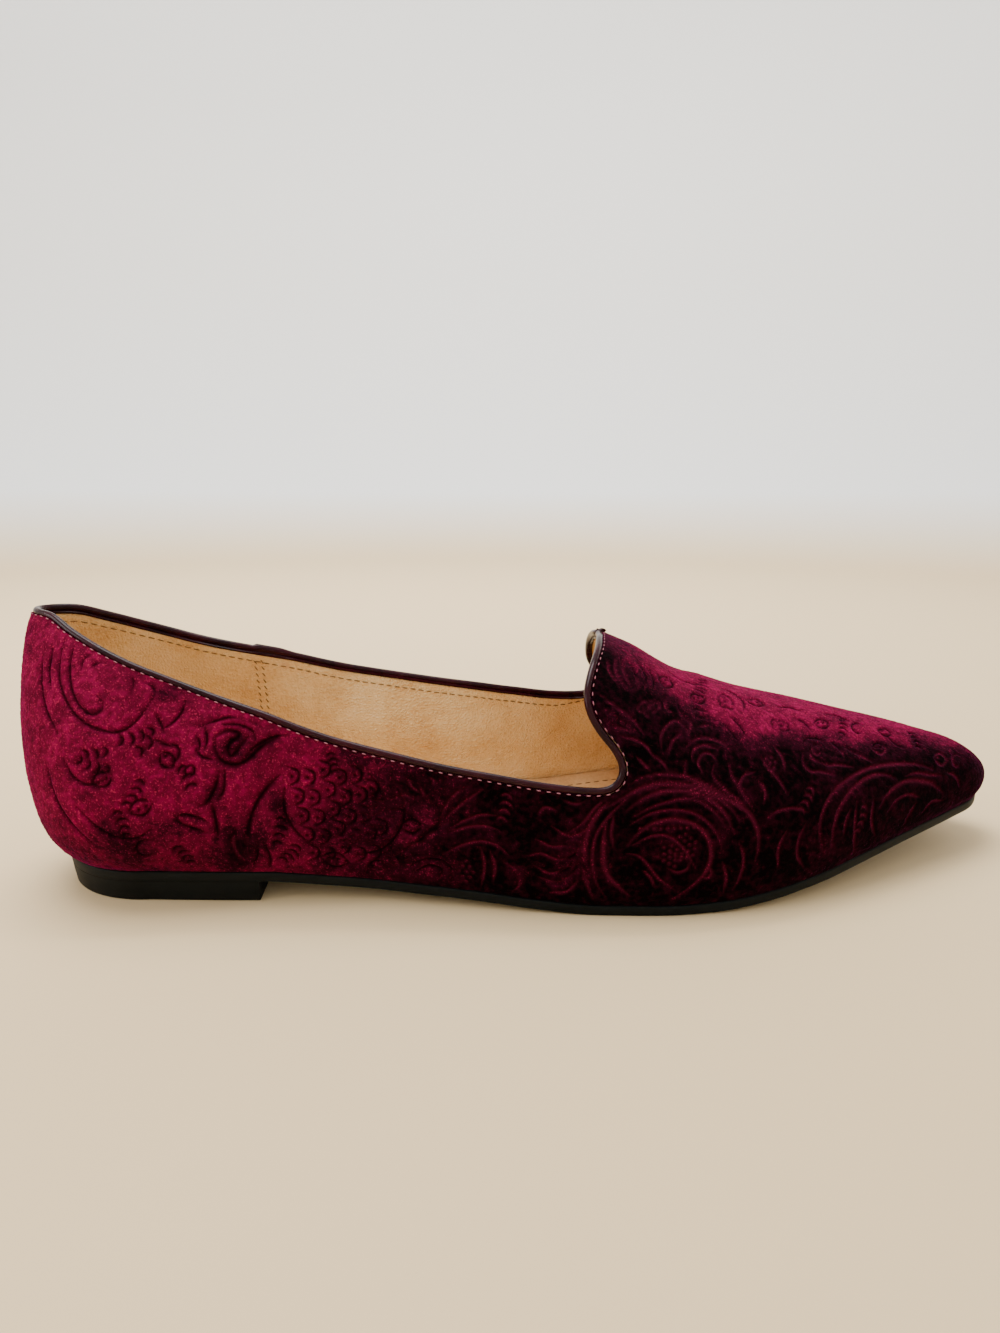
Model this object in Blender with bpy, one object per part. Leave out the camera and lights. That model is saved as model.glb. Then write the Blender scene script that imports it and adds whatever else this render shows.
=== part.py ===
"""A right-foot slip-on loafer with a pointed toe and a tabbed vamp.

Metres, +X from heel to toe, -Y the outer side of the foot, +Z up. The origin
is the middle of the heel's flat base, on the floor.
"""
import math

import bmesh
import bpy
import numpy as np

for old in list(bpy.data.objects):
    bpy.data.objects.remove(old, do_unlink=True)

# Driving dimensions, in metres
LENGTH = 0.2525           # back of the heel to the tip of the toe
BALL_WIDTH = 0.075        # widest part of the upper
COLLAR_RISE = 0.0587      # back of the collar above the sole's top
INSTEP_RISE = 0.0567      # crest of the tab above the sole's top
HEEL_HEIGHT = 0.0052      # heel block, floor to outsole
TOE_SPRING = 0.0120       # underside of the tip above the floor
ARCH_LIFT = 0.0015        # inner side of the waist above the outer side
BACK_CURVE = 0.0080       # depth of the curve down the back of the heel
SOLE_THICKNESS = 0.0024
INSOLE_THICKNESS = 0.0022
WALL = 0.0020             # velvet, backing and lining together
PIPING_RADIUS = 0.00095
CLEARANCE = 0.0003        # between pieces that meet
INSOLE_GAP = 0.0005       # round the edge of the insole
HEEL_SEAT = 0.0320        # from the heel's back to the centre of its round
TOE_ROUND = 0.0120        # length of the rounded tip
BREAST_STATION = 0.0575   # front face of the heel block
NOSE_TUCK = 0.0024        # sole's edge behind the tip of the upper
HEEL_TAPER = 0.0006       # heel block's base inside its top
SOLE_BEVEL = 0.0005       # rounding of the outsole's lower edge
HEEL_BEVEL = 0.0005       # rounding of the heel's lower edge
INSOLE_BEVEL = 0.0004     # rounding of the insole's upper edge

# Shares and exponents of the form
HEEL_SQUARE = 2.00        # plan of the heel: 2 is an ellipse, more is squarer
ARCH_REACH = 0.33         # ARCH_LIFT is full at this share of BALL_WIDTH inward
QUARTER_END = 0.30        # the wall leans like a quarter up to this station
VAMP_START = 0.48         # and arches over like the vamp from this one
LOW_SHARE = 0.18          # part of the vamp's girth below its widest line

# Mesh density
WALL_ROWS = 9             # up the wall, from the sole to the collar
TAB_ROWS = 16             # along each side of the throat and tab
VAMP_COLUMNS = 22         # from the throat to the toe
FAN_STEPS = 8             # round each half of the heel
QUARTER_STEP = 0.0065     # between the columns of the quarters
PIPING_SIDES = 8
PLATE_COLUMNS = 6         # across the outsole and the insole
TIP_TURNS = (15, 30, 45, 60, 75)
TOE_CROWD = 0.35          # how far the vamp's columns crowd towards the toe
TOE_CROWD_TURN = math.radians(80)
TIP_REST = 0.02           # share of TOE_ROUND that the last column leaves
SLOPE_STEP = 0.0005       # for measuring a slope
SHARP_ANGLE = math.radians(40)

# Half widths are shares of BALL_WIDTH: the widest line of each side, the
# tuck from it in to the sole's edge, and the half width at the collar.
# "bulge" is the widest line's height as a share of INSTEP_RISE.
BODY_COLUMNS = ("station", "lateral", "medial", "tuck", "collar", "bulge", "round")
BODY = (
    (0.126, 0.364, 0.350, 0.078, 0.236, 0.230, 2.20),
    (0.177, 0.361, 0.344, 0.056, 0.256, 0.230, 2.20),
    (0.236, 0.356, 0.332, 0.034, 0.307, 0.225, 2.20),
    (0.315, 0.367, 0.318, 0.026, 0.352, 0.215, 2.20),
    (0.394, 0.409, 0.326, 0.018, 0.400, 0.205, 2.20),
    (0.472, 0.461, 0.362, 0.012, 0.448, 0.195, 2.20),
    (0.551, 0.502, 0.424, 0.010, 0.485, 0.190, 2.15),
    (0.610, 0.518, 0.470, 0.010, 0.500, 0.175, 2.10),
    (0.650, 0.516, 0.489, 0.010, 0.500, 0.160, 2.10),
    (0.689, 0.499, 0.492, 0.010, 0.490, 0.150, 2.10),
    (0.748, 0.450, 0.467, 0.011, 0.440, 0.130, 2.10),
    (0.807, 0.376, 0.412, 0.012, 0.370, 0.115, 2.15),
    (0.866, 0.294, 0.336, 0.012, 0.280, 0.100, 2.20),
    (0.925, 0.212, 0.243, 0.012, 0.190, 0.080, 2.25),
    (0.957, 0.165, 0.190, 0.011, 0.150, 0.065, 2.25),
    (1.000, 0.108, 0.122, 0.010, 0.100, 0.050, 2.25),
)

# The line along the top of the last, as shares of INSTEP_RISE above the sole.
CREST = (
    (0.300, 1.62), (0.400, 1.46), (0.480, 1.25), (0.520, 1.12), (0.561, 1.003),
    (0.602, 0.918), (0.622, 0.862), (0.645, 0.803), (0.673, 0.757), (0.724, 0.660),
    (0.780, 0.567), (0.839, 0.462), (0.898, 0.362), (0.945, 0.275), (0.970, 0.230),
    (1.000, 0.175),
)

# Underside of the outsole, from the heel's breast, 0, to the toe, 1: shares of
# HEEL_HEIGHT, TOE_SPRING and ARCH_LIFT.
SOLE_LINE_COLUMNS = ("station", "heel", "spring", "arch")
SOLE_LINE = (
    (0.000, 1.00, 0.000, 0.00),
    (0.004, 1.00, 0.000, 0.00),
    (0.052, 0.88, 0.000, 0.45),
    (0.088, 0.77, 0.000, 0.80),
    (0.148, 0.61, 0.000, 1.00),
    (0.208, 0.48, 0.000, 1.00),
    (0.268, 0.35, 0.000, 0.70),
    (0.324, 0.17, 0.000, 0.25),
    (0.368, 0.04, 0.000, 0.00),
    (0.391, 0.00, 0.000, 0.00),
    (0.489, 0.00, 0.000, 0.00),
    (0.534, 0.00, 0.025, 0.00),
    (0.592, 0.00, 0.100, 0.00),
    (0.678, 0.00, 0.280, 0.00),
    (0.785, 0.00, 0.540, 0.00),
    (0.885, 0.00, 0.760, 0.00),
    (1.000, 0.00, 1.000, 0.00),
)

# Rim of the collar above the sole, as shares of COLLAR_RISE.
COLLAR_COLUMNS = ("station", "lateral", "medial")
COLLAR = (
    (0.000, 0.990, 0.990),
    (0.028, 0.985, 0.985),
    (0.059, 0.932, 0.943),
    (0.098, 0.860, 0.882),
    (0.142, 0.782, 0.818),
    (0.189, 0.702, 0.762),
    (0.236, 0.637, 0.705),
    (0.295, 0.562, 0.652),
    (0.354, 0.515, 0.617),
    (0.406, 0.480, 0.595),
    (0.449, 0.464, 0.581),
    (0.492, 0.453, 0.566),
    (0.524, 0.450, 0.551),
    (0.555, 0.455, 0.541),
    (0.600, 0.470, 0.541),
)

# Edge of the throat and tab: station as a share of LENGTH, and height as one
# of the climb from the collar's end, 0, to the crest of the tab, 1.
LATERAL_THROAT = (
    (0.524, 0.000), (0.542, 0.006), (0.5540, 0.064), (0.5600, 0.187),
    (0.554, 0.329), (0.542, 0.456), (0.5335, 0.590), (0.5330, 0.718),
    (0.543, 0.877), (0.558, 0.991), (0.565, 1.000),
)
MEDIAL_THROAT = (
    (0.555, 0.000), (0.572, 0.007), (0.585, 0.069), (0.592, 0.195),
    (0.589, 0.333), (0.582, 0.437), (0.575, 0.540), (0.571, 0.667),
    (0.568, 0.828), (0.566, 0.977), (0.565, 1.000),
)

# Back of the heel: shares of COLLAR_RISE above the sole and of BACK_CURVE in.
BACK_LINE = (
    (0.00, 0.88), (0.04, 0.66), (0.09, 0.44), (0.16, 0.27), (0.26, 0.13),
    (0.40, 0.02), (0.54, 0.00), (0.70, 0.08), (0.86, 0.24), (1.00, 0.50),
)


def smooth(points, x):
    """Monotone cubic curve through a table of (x, y) points."""
    xs = np.array([p[0] for p in points], float)
    ys = np.array([p[1] for p in points], float)
    x = np.clip(np.asarray(x, float), xs[0], xs[-1])
    step = np.diff(xs)
    rate = np.diff(ys) / step
    slope = np.zeros(len(xs))
    same = rate[:-1] * rate[1:] > 0
    w1 = 2 * step[1:] + step[:-1]
    w2 = step[1:] + 2 * step[:-1]
    safe = np.where(same, rate[:-1] * rate[1:], 1.0)
    mean = (w1 + w2) * safe / (w1 * rate[1:] + w2 * rate[:-1] + np.where(same, 0.0, 1e9))
    slope[1:-1] = np.where(same, mean, 0.0)
    slope[0] = rate[0]
    slope[-1] = rate[-1]
    i = np.clip(np.searchsorted(xs, x, side="right") - 1, 0, len(step) - 1)
    t = (x - xs[i]) / step[i]
    a = ys[i] * (1 + 2 * t) * (1 - t) ** 2 + ys[i + 1] * t * t * (3 - 2 * t)
    b = slope[i] * t * (1 - t) ** 2 - slope[i + 1] * t * t * (1 - t)
    return a + b * step[i]


def column(table, names, name):
    """One named column of a table, with the station before it."""
    k = names.index(name)
    return [(row[0], row[k]) for row in table]


def ease(value, start, end):
    """0 before start, 1 after end, and a smooth step between."""
    t = np.clip((value - start) / (end - start), 0.0, 1.0)
    return t * t * (3 - 2 * t)


def sole_bottom(x, y):
    """Height of the outsole's underside."""
    s = (x - BREAST_STATION) / (LENGTH - BREAST_STATION)
    heel = smooth(column(SOLE_LINE, SOLE_LINE_COLUMNS, "heel"), s)
    spring = smooth(column(SOLE_LINE, SOLE_LINE_COLUMNS, "spring"), s)
    arch = smooth(column(SOLE_LINE, SOLE_LINE_COLUMNS, "arch"), s)
    inward = np.clip(y / (BALL_WIDTH * ARCH_REACH), 0.0, 1.2)
    return heel * HEEL_HEIGHT + spring * TOE_SPRING + arch * ARCH_LIFT * inward ** 2


def bed(x, y):
    """Height of the outsole's top, which carries the upper and the insole."""
    return sole_bottom(x, y) + SOLE_THICKNESS


def tip_round(x):
    """1 behind the rounded tip, and down to 0 at its end."""
    t = np.clip((x - LENGTH + TOE_ROUND) / TOE_ROUND, 0.0, 1.0)
    return np.sqrt(1 - t * t)


def side_name(side):
    return "lateral" if side < 0 else "medial"


def body(x, name):
    return smooth(column(BODY, BODY_COLUMNS, name), x / LENGTH)


def widest(x, side):
    return body(x, side_name(side)) * BALL_WIDTH * tip_round(x)


def nose_shift(x, low):
    """How far a point low on the rounded tip stands back; low is 0 at the sole."""
    t = np.clip((x - LENGTH + TOE_ROUND) / TOE_ROUND, 0.0, 1.0)
    return NOSE_TUCK * (1 - low) ** 2 * t * t


def edge_width(x, side):
    """Half width where the upper meets the sole."""
    return widest(x, side) - body(x, "tuck") * BALL_WIDTH * tip_round(x)


def foot_height(x, side):
    """Lower edge of the upper."""
    return bed(x, side * edge_width(x, side)) + CLEARANCE


def bulge_height(x, side):
    return foot_height(x, side) + body(x, "bulge") * INSTEP_RISE


def crest_height(x):
    low = bulge_height(x, -1)
    top = bed(x, 0) + smooth(CREST, x / LENGTH) * INSTEP_RISE
    return low + (top - low) * tip_round(x)


def collar_height(x, side):
    share = smooth(column(COLLAR, COLLAR_COLUMNS, side_name(side)), x / LENGTH)
    return bed(x, 0) + share * COLLAR_RISE


def wall_width(x, z, side):
    """Half width of the upper's outer face at a height."""
    w = widest(x, side)
    foot = foot_height(x, side)
    bulge = bulge_height(x, side)
    crest = crest_height(x)
    n = body(x, "round")
    rim = collar_height(x, side)
    below = np.clip((bulge - z) / (bulge - foot), 0.0, 1.0)
    low = w - (w - edge_width(x, side)) * below ** 2
    up = np.clip((z - bulge) / (crest - bulge), 0.0, 1.0)
    arch = w * (1 - up ** n) ** (1 / n)
    collar = body(x, "collar") * BALL_WIDTH + (w - widest(x, -1)) / 2
    lean = w - (w - collar) * np.clip((z - bulge) / (rim - bulge), 0.0, 2.0) ** 2
    share = ease(x, QUARTER_END * LENGTH, VAMP_START * LENGTH)
    return np.where(z < bulge, low, lean * (1 - share) + arch * share)


def back_line(z):
    """Station of the heel's back at a height."""
    share = (z - bed(0, 0)) / COLLAR_RISE
    return smooth(BACK_LINE, share) * BACK_CURVE


def arch_point(x, t, side):
    """Point of the vamp: t runs from the sole's edge, 0, to the crest, 1."""
    w = widest(x, side)
    foot = foot_height(x, side)
    bulge = bulge_height(x, side)
    crest = crest_height(x)
    n = body(x, "round")
    low = np.clip(t / LOW_SHARE, 0.0, 1.0)
    angle = np.clip((t - LOW_SHARE) / (1 - LOW_SHARE), 0.0, 1.0) * math.pi / 2
    y_low = w - (w - edge_width(x, side)) * (1 - low) ** 2
    z_low = foot + (bulge - foot) * low
    y_up = w * np.cos(angle).clip(0) ** (2 / n)
    z_up = bulge + (crest - bulge) * np.sin(angle) ** (2 / n)
    under = t < LOW_SHARE
    y = side * np.where(under, y_low, y_up)
    return np.array((x - nose_shift(x, low), y, np.where(under, z_low, z_up)))


def arch_share(x, z, side):
    """The t of arch_point at a height."""
    foot = foot_height(x, side)
    bulge = bulge_height(x, side)
    crest = crest_height(x)
    n = body(x, "round")
    if z < bulge:
        return LOW_SHARE * (z - foot) / (bulge - foot)
    up = min((z - bulge) / (crest - bulge), 1.0)
    return LOW_SHARE + (1 - LOW_SHARE) * math.asin(up ** (n / 2)) * 2 / math.pi


def heel_point(angle, z, side):
    """Point of the rounded heel: angle 0 is the very back, 90 degrees the side."""
    n = HEEL_SQUARE
    back = back_line(z)
    half = wall_width(HEEL_SEAT, z, side)
    x = HEEL_SEAT - (HEEL_SEAT - back) * abs(math.cos(angle)) ** (2 / n)
    y = side * half * abs(math.sin(angle)) ** (2 / n)
    return np.array((x, y, z))


def quarter_columns(side):
    """Stations from the heel's round to the seam with the vamp."""
    table = LATERAL_THROAT if side < 0 else MEDIAL_THROAT
    seam = table[0][0] * LENGTH
    count = round((seam - HEEL_SEAT) / QUARTER_STEP)
    return [HEEL_SEAT + (seam - HEEL_SEAT) * k / count for k in range(1, count + 1)]


def wall_column(x, side):
    """Points up the wall at a station, from the sole to the rim."""
    foot = foot_height(x, side)
    rim = collar_height(x, side)
    points = []
    for r in range(WALL_ROWS + 1):
        z = foot + (rim - foot) * r / WALL_ROWS
        points.append(np.array((x, side * wall_width(x, z, side), z)))
    return points


def heel_column(angle, side):
    """Points up the rounded heel at an angle, from the sole to the rim."""
    foot = foot_height(HEEL_SEAT, side)
    x = heel_point(angle, foot + 0.8 * COLLAR_RISE, side)[0]
    rim = collar_height(x, side)
    rows = range(WALL_ROWS + 1)
    return [heel_point(angle, foot + (rim - foot) * r / WALL_ROWS, side) for r in rows]


def curve_through(points, count):
    """Evenly spaced points on a smooth curve through the given ones."""
    pts = np.array(points, float)
    first = 2 * pts[0] - pts[1]
    last = 2 * pts[-1] - pts[-2]
    pts = np.vstack([first, pts, last])
    fine = []
    for i in range(1, len(pts) - 2):
        a, b, c, d = pts[i - 1:i + 3]
        for t in np.linspace(0, 1, 16, endpoint=False):
            even = (2 * b + (c - a) * t + (2 * a - 5 * b + 4 * c - d) * t ** 2
                    + (3 * b - a - 3 * c + d) * t ** 3) / 2
            fine.append(even)
    fine = np.array(fine + [pts[-2]])
    run = np.concatenate([[0], np.cumsum(np.linalg.norm(np.diff(fine, axis=0), axis=1))])
    at = np.linspace(0, run[-1], count)
    return np.column_stack([np.interp(at, run, fine[:, k]) for k in range(fine.shape[1])])


def throat_points(side):
    """Edge of the throat on the vamp, as (station, t), from the seam to the crest."""
    table = LATERAL_THROAT if side < 0 else MEDIAL_THROAT
    seam = table[0][0] * LENGTH
    crest = table[-1][0] * LENGTH
    low = float(collar_height(seam, side))
    climb = float(crest_height(crest)) - low
    world = []
    for share, rise in table[:-1]:
        x = share * LENGTH
        world.append(arch_point(x, arch_share(x, low + rise * climb, side), side))
    world.append(arch_point(crest, 1.0, side))
    even = curve_through(world, TAB_ROWS + 1)
    result = []
    for p in even[:-1]:
        result.append((p[0], arch_share(p[0], p[2], side)))
    result.append((crest, 1.0))
    return result


def vamp_side(side):
    """Grid of vamp points for one side: rows from the sole to the crest."""
    throat = throat_points(side)
    seam = throat[0][0]
    foot = foot_height(seam, side)
    rim = collar_height(seam, side)
    starts = []
    for r in range(WALL_ROWS):
        starts.append((seam, arch_share(seam, foot + (rim - foot) * r / WALL_ROWS, side)))
    starts.append((seam, arch_share(seam, rim, side)))
    starts += throat[1:]
    last = len(starts) - 1
    turns = np.linspace(0, 1, VAMP_COLUMNS + 1)
    crowd = TOE_CROWD * np.sin(turns * TOE_CROWD_TURN)
    turns = crowd + turns * (1 - crowd[-1])
    rows = []
    for r, (start, t0) in enumerate(starts):
        row = []
        for s in turns:
            x = start + (LENGTH - TOE_ROUND * TIP_REST - start) * s
            t = t0 + (r / last - t0) * float(ease(s, 0.0, 0.55))
            row.append(arch_point(x, t, side))
        rows.append(row)
    return rows


def mesh_object(name, points, faces, look):
    """A mesh object with outward faces and a material."""
    mesh = bpy.data.meshes.new(name)
    shift = np.array((-ORIGIN_STATION, 0.0, 0.0))
    mesh.from_pydata([tuple(p + shift) for p in points], [], faces)
    work = bmesh.new()
    work.from_mesh(mesh)
    bmesh.ops.recalc_face_normals(work, faces=work.faces)
    if work.calc_volume(signed=True) < 0:
        bmesh.ops.reverse_faces(work, faces=work.faces)
    work.to_mesh(mesh)
    work.free()
    mesh.shade_smooth()
    mesh.set_sharp_from_angle(angle=SHARP_ANGLE)
    item = bpy.data.objects.new(name, mesh)
    bpy.context.scene.collection.objects.link(item)
    mesh.materials.append(look)
    return item


def material(name, colour, roughness, metallic=0.0):
    look = bpy.data.materials.new(name)
    look.use_nodes = True
    shader = look.node_tree.nodes["Principled BSDF"]
    shader.inputs["Base Color"].default_value = (*colour, 1.0)
    shader.inputs["Roughness"].default_value = roughness
    shader.inputs["Metallic"].default_value = metallic
    look.diffuse_color = (*colour, 1.0)
    return look


def upper_surface():
    """Outer face of the upper: points, faces, and the rim as a closed loop."""
    columns = [wall_column(x, -1) for x in reversed(quarter_columns(-1))]
    steps = [math.pi / 2 * k / FAN_STEPS for k in range(FAN_STEPS + 1)]
    columns += [heel_column(a, -1) for a in reversed(steps)]
    columns += [heel_column(a, 1) for a in steps[1:]]
    columns += [wall_column(x, 1) for x in quarter_columns(1)]
    points = []
    faces = []

    def put(point):
        points.append(point)
        return len(points) - 1

    wall = [[put(p) for p in one] for one in columns]
    for a, b in zip(wall, wall[1:]):
        for r in range(WALL_ROWS):
            faces.append((b[r], a[r], a[r + 1], b[r + 1]))

    lateral = vamp_side(-1)
    medial = vamp_side(1)
    top = len(lateral) - 1
    rows = []
    for r in range(top + 1):
        start = [wall[0][r]] if r <= WALL_ROWS else [put(lateral[r][0])]
        rows.append(start + [put(p) for p in lateral[r][1:]])
    for r in range(top - 1, -1, -1):
        start = [wall[-1][r]] if r <= WALL_ROWS else [put(medial[r][0])]
        rows.append(start + [put(p) for p in medial[r][1:]])
    for a, b in zip(rows, rows[1:]):
        for j in range(VAMP_COLUMNS):
            faces.append((a[j], a[j + 1], b[j + 1], b[j]))

    nose = []
    for r in range(top):
        low = points[rows[r][-1]]
        share = min(r / top / LOW_SHARE, 1.0)
        nose.append(put(np.array((LENGTH - nose_shift(LENGTH, share), 0.0, low[2]))))
    for r in range(top - 1):
        a, b = rows[r][-1], rows[r + 1][-1]
        faces.append((a, nose[r], nose[r + 1], b))
        a, b = rows[-1 - r][-1], rows[-2 - r][-1]
        faces.append((a, b, nose[r + 1], nose[r]))
    tip = rows[top][-1]
    faces.append((rows[top - 1][-1], nose[-1], tip))
    faces.append((nose[-1], rows[top + 1][-1], tip))

    rim = [rows[r][0] for r in range(top, WALL_ROWS, -1)]
    rim += [one[-1] for one in wall]
    rim += [rows[r][0] for r in range(len(rows) - 1 - WALL_ROWS - 1, top, -1)]
    return np.array(points), faces, rim


def vertex_normals(points, faces):
    """Area-weighted outward normals, away from the middle of the shoe."""
    normals = np.zeros_like(points)
    for face in faces:
        p = points[list(face)]
        n = np.cross(p[2] - p[0], p[-1] - p[1])
        for k in face:
            normals[k] += n
    normals /= np.linalg.norm(normals, axis=1)[:, None]
    middle = np.array((0.5 * LENGTH, 0.0, 0.4 * INSTEP_RISE))
    if ((points - middle) * normals).sum() < 0:
        normals = -normals
    return normals


def inner_points(points, normals):
    """The lining's face: one wall thickness in, level along the sole."""
    feet = np.array([float(foot_height(min(max(p[0], 0), LENGTH), -1 if p[1] < 0 else 1))
                     for p in points])
    free = np.clip((points[:, 2] - feet) / (3 * WALL), 0.0, 1.0)
    flat = normals.copy()
    flat[:, 2] *= free
    flat /= np.linalg.norm(flat, axis=1)[:, None]
    return points - flat * WALL


def open_edges(faces):
    """Edges that only one face uses."""
    used = {}
    for face in faces:
        for a, b in zip(face, face[1:] + face[:1]):
            key = (min(a, b), max(a, b))
            used.setdefault(key, []).append((a, b))
    return [found[0] for found in used.values() if len(found) == 1]


def make_upper(points, faces, normals):
    """One hollow wall, open at the collar and underneath."""
    inner = inner_points(points, normals)
    count = len(points)
    solid = list(faces)
    solid += [tuple(k + count for k in reversed(face)) for face in faces]
    for a, b in open_edges(faces):
        solid.append((b, a, a + count, b + count))
    return mesh_object("upper", np.vstack([points, inner]), solid, VELVET)


def rim_frames(points, normals, rim):
    """Middle of the rim and the directions up off it and across it."""
    outer = points[rim]
    across = normals[rim]
    middle = outer - across * WALL / 2
    along = np.roll(middle, -1, axis=0) - np.roll(middle, 1, axis=0)
    along /= np.linalg.norm(along, axis=1)[:, None]
    up = np.cross(along, across)
    up /= np.linalg.norm(up, axis=1)[:, None]
    back = int(np.argmin(outer[:, 0]))
    if up[back][2] < 0:
        up = -up
    return middle, up, across


def make_piping(points, normals, rim):
    """Round beading that follows the rim of the collar and tab."""
    middle, up, across = rim_frames(points, normals, rim)
    centre = middle + up * (PIPING_RADIUS + CLEARANCE)
    rings = []
    verts = []
    for c, u, v in zip(centre, up, across):
        ring = []
        for k in range(PIPING_SIDES):
            turn = 2 * math.pi * (k + 0.5) / PIPING_SIDES
            verts.append(c + PIPING_RADIUS * (math.cos(turn) * u + math.sin(turn) * v))
            ring.append(len(verts) - 1)
        rings.append(ring)
    return mesh_object("piping", verts, bridge(rings + rings[:1]), PATENT)


def face_width(x, z, side, depth):
    """Half width of a face that lies depth inside the upper's outer face."""
    here = wall_width(x, z, side)
    rise = (wall_width(x, z + SLOPE_STEP, side) - here) / SLOPE_STEP
    taper = (here - wall_width(x - SLOPE_STEP, z, side)) / SLOPE_STEP
    return float(here - depth * np.sqrt(1 + rise ** 2 + taper ** 2))


def back_face(z, depth):
    """Station of the heel's back, depth inside the upper's outer face."""
    slope = (back_line(z + SLOPE_STEP) - back_line(z)) / SLOPE_STEP
    return float(back_line(z) + depth * np.hypot(1, slope))


def heel_round(back, seat):
    """Plan of the rounded heel: (x, outer, inner half width) rows to HEEL_SEAT."""
    rows = []
    for k in range(1, FAN_STEPS + 1):
        angle = math.pi / 2 * k / FAN_STEPS
        x = HEEL_SEAT - (HEEL_SEAT - back) * math.cos(angle) ** (2 / HEEL_SQUARE)
        out = math.sin(angle) ** (2 / HEEL_SQUARE)
        rows.append((x, seat[0] * out, seat[1] * out))
    return rows


def plate_edge(lift, depth, gap):
    """Edge of a plate in the upper's outline: (x, outer, inner half width) rows.

    The edge is lift above the sole's top, depth behind the upper's outer face
    and gap clear of that.
    """
    tip = LENGTH - TOE_ROUND
    back = back_face(float(bed(0, 0)) + lift, depth) + gap
    nose_slope = 2 * NOSE_TUCK / float(body(LENGTH, "bulge") * INSTEP_RISE)
    front = LENGTH - NOSE_TUCK - depth * math.hypot(1, nose_slope) - gap

    def halves(x):
        result = []
        for side in (-1, 1):
            z = float(bed(x, side * edge_width(x, side))) + lift
            result.append(face_width(x, z, side, depth) - gap)
        return result

    rows = heel_round(back, halves(HEEL_SEAT))
    count = round((tip - HEEL_SEAT) / QUARTER_STEP)
    for k in range(1, count + 1):
        x = HEEL_SEAT + (tip - HEEL_SEAT) * k / count
        rows.append((x, *halves(x)))
    start = halves(tip)
    for turn in TIP_TURNS:
        t = math.sin(math.radians(turn))
        x = tip + TOE_ROUND * t
        reach = (TOE_ROUND * t - NOSE_TUCK * t * t) / (TOE_ROUND - NOSE_TUCK)
        wide = []
        for side, half in zip((-1, 1), start):
            taper = float(body(x, side_name(side)) / body(tip, side_name(side)))
            wide.append(half * taper * math.cos(math.radians(turn)))
        rows.append((tip + (front - tip) * reach, *wide))
    return back, rows, front


def plate(name, look, levels, depth, gap):
    """Closed plate under the foot; levels are (lift, inset), from below up."""
    verts = []
    faces = []
    layers = []
    for lift, inset in levels:
        back, rows, front = plate_edge(lift, depth, gap + inset)
        grid = []
        for x, outer, inner in rows:
            line = []
            for k in range(PLATE_COLUMNS + 1):
                y = -outer + (outer + inner) * k / PLATE_COLUMNS
                verts.append(np.array((x, y, float(bed(x, y)) + lift)))
                line.append(len(verts) - 1)
            grid.append(line)
        ends = []
        for x in (back, front):
            verts.append(np.array((x, 0.0, float(bed(x, 0)) + lift)))
            ends.append(len(verts) - 1)
        layers.append((grid, ends))
    for grid, ends in (layers[0], layers[-1]):
        for a, b in zip(grid, grid[1:]):
            for k in range(PLATE_COLUMNS):
                faces.append((a[k], b[k], b[k + 1], a[k + 1]))
        for k in range(PLATE_COLUMNS):
            faces.append((ends[0], grid[0][k], grid[0][k + 1]))
            faces.append((ends[1], grid[-1][k + 1], grid[-1][k]))
    loops = []
    for grid, ends in layers:
        loop = [ends[0]] + [line[0] for line in grid] + [ends[1]]
        loop += [line[-1] for line in reversed(grid)]
        loops.append(loop)
    faces += bridge(loops)
    used = sorted({k for face in faces for k in face})
    place = {old: new for new, old in enumerate(used)}
    faces = [tuple(place[k] for k in face) for face in faces]
    return mesh_object(name, [verts[k] for k in used], faces, look)


def bridge(loops):
    """Quads between closed loops of the same length."""
    faces = []
    for a, b in zip(loops, loops[1:]):
        for k in range(len(a)):
            n = (k + 1) % len(a)
            faces.append((a[k], a[n], b[n], b[k]))
    return faces


def make_outsole():
    low = -SOLE_THICKNESS
    levels = ((low, SOLE_BEVEL), (low + SOLE_BEVEL, 0.0),
              (-SOLE_BEVEL / 2, 0.0), (0.0, SOLE_BEVEL / 2))
    return plate("outsole", SOLE_RUBBER, levels, 0.0, 0.0)


def make_insole():
    base = CLEARANCE
    levels = ((base, 0.0), (base + INSOLE_THICKNESS * 0.4, 0.0),
              (base + INSOLE_THICKNESS * 0.8, 0.0), (base + INSOLE_THICKNESS, INSOLE_BEVEL))
    return plate("insole", LINING, levels, WALL, INSOLE_GAP)


def heel_edge(inset):
    """Outline of the heel block: round at the back, straight at the breast."""
    back = back_face(float(bed(0, 0)), 0.0) + inset
    seat = [float(edge_width(HEEL_SEAT, side)) - inset for side in (-1, 1)]
    rows = heel_round(back, seat)
    for k in range(1, 5):
        x = HEEL_SEAT + (BREAST_STATION - HEEL_SEAT) * k / 4
        rows.append((x, *(float(edge_width(x, side)) - inset for side in (-1, 1))))
    loop = [(back, 0.0)] + [(x, -outer) for x, outer, inner in rows]
    return loop + [(x, inner) for x, outer, inner in reversed(rows)]


def make_heel_block():
    """Low heel with a slight taper down to its flat base."""
    levels = ((0.0, HEEL_TAPER + HEEL_BEVEL), (HEEL_BEVEL, HEEL_TAPER),
              (HEEL_HEIGHT - CLEARANCE, SOLE_BEVEL))
    verts = []
    loops = []
    for z, inset in levels:
        first = len(verts)
        verts += [np.array((x, y, z)) for x, y in heel_edge(inset)]
        loops.append(list(range(first, len(verts))))
    faces = [tuple(reversed(loops[0])), tuple(loops[-1])] + bridge(loops)
    return mesh_object("heel_block", verts, faces, SOLE_RUBBER)


# Station of the origin: the middle of the heel's base
ORIGIN_STATION = (float(back_line(bed(0, 0))) + HEEL_TAPER + BREAST_STATION) / 2

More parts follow.
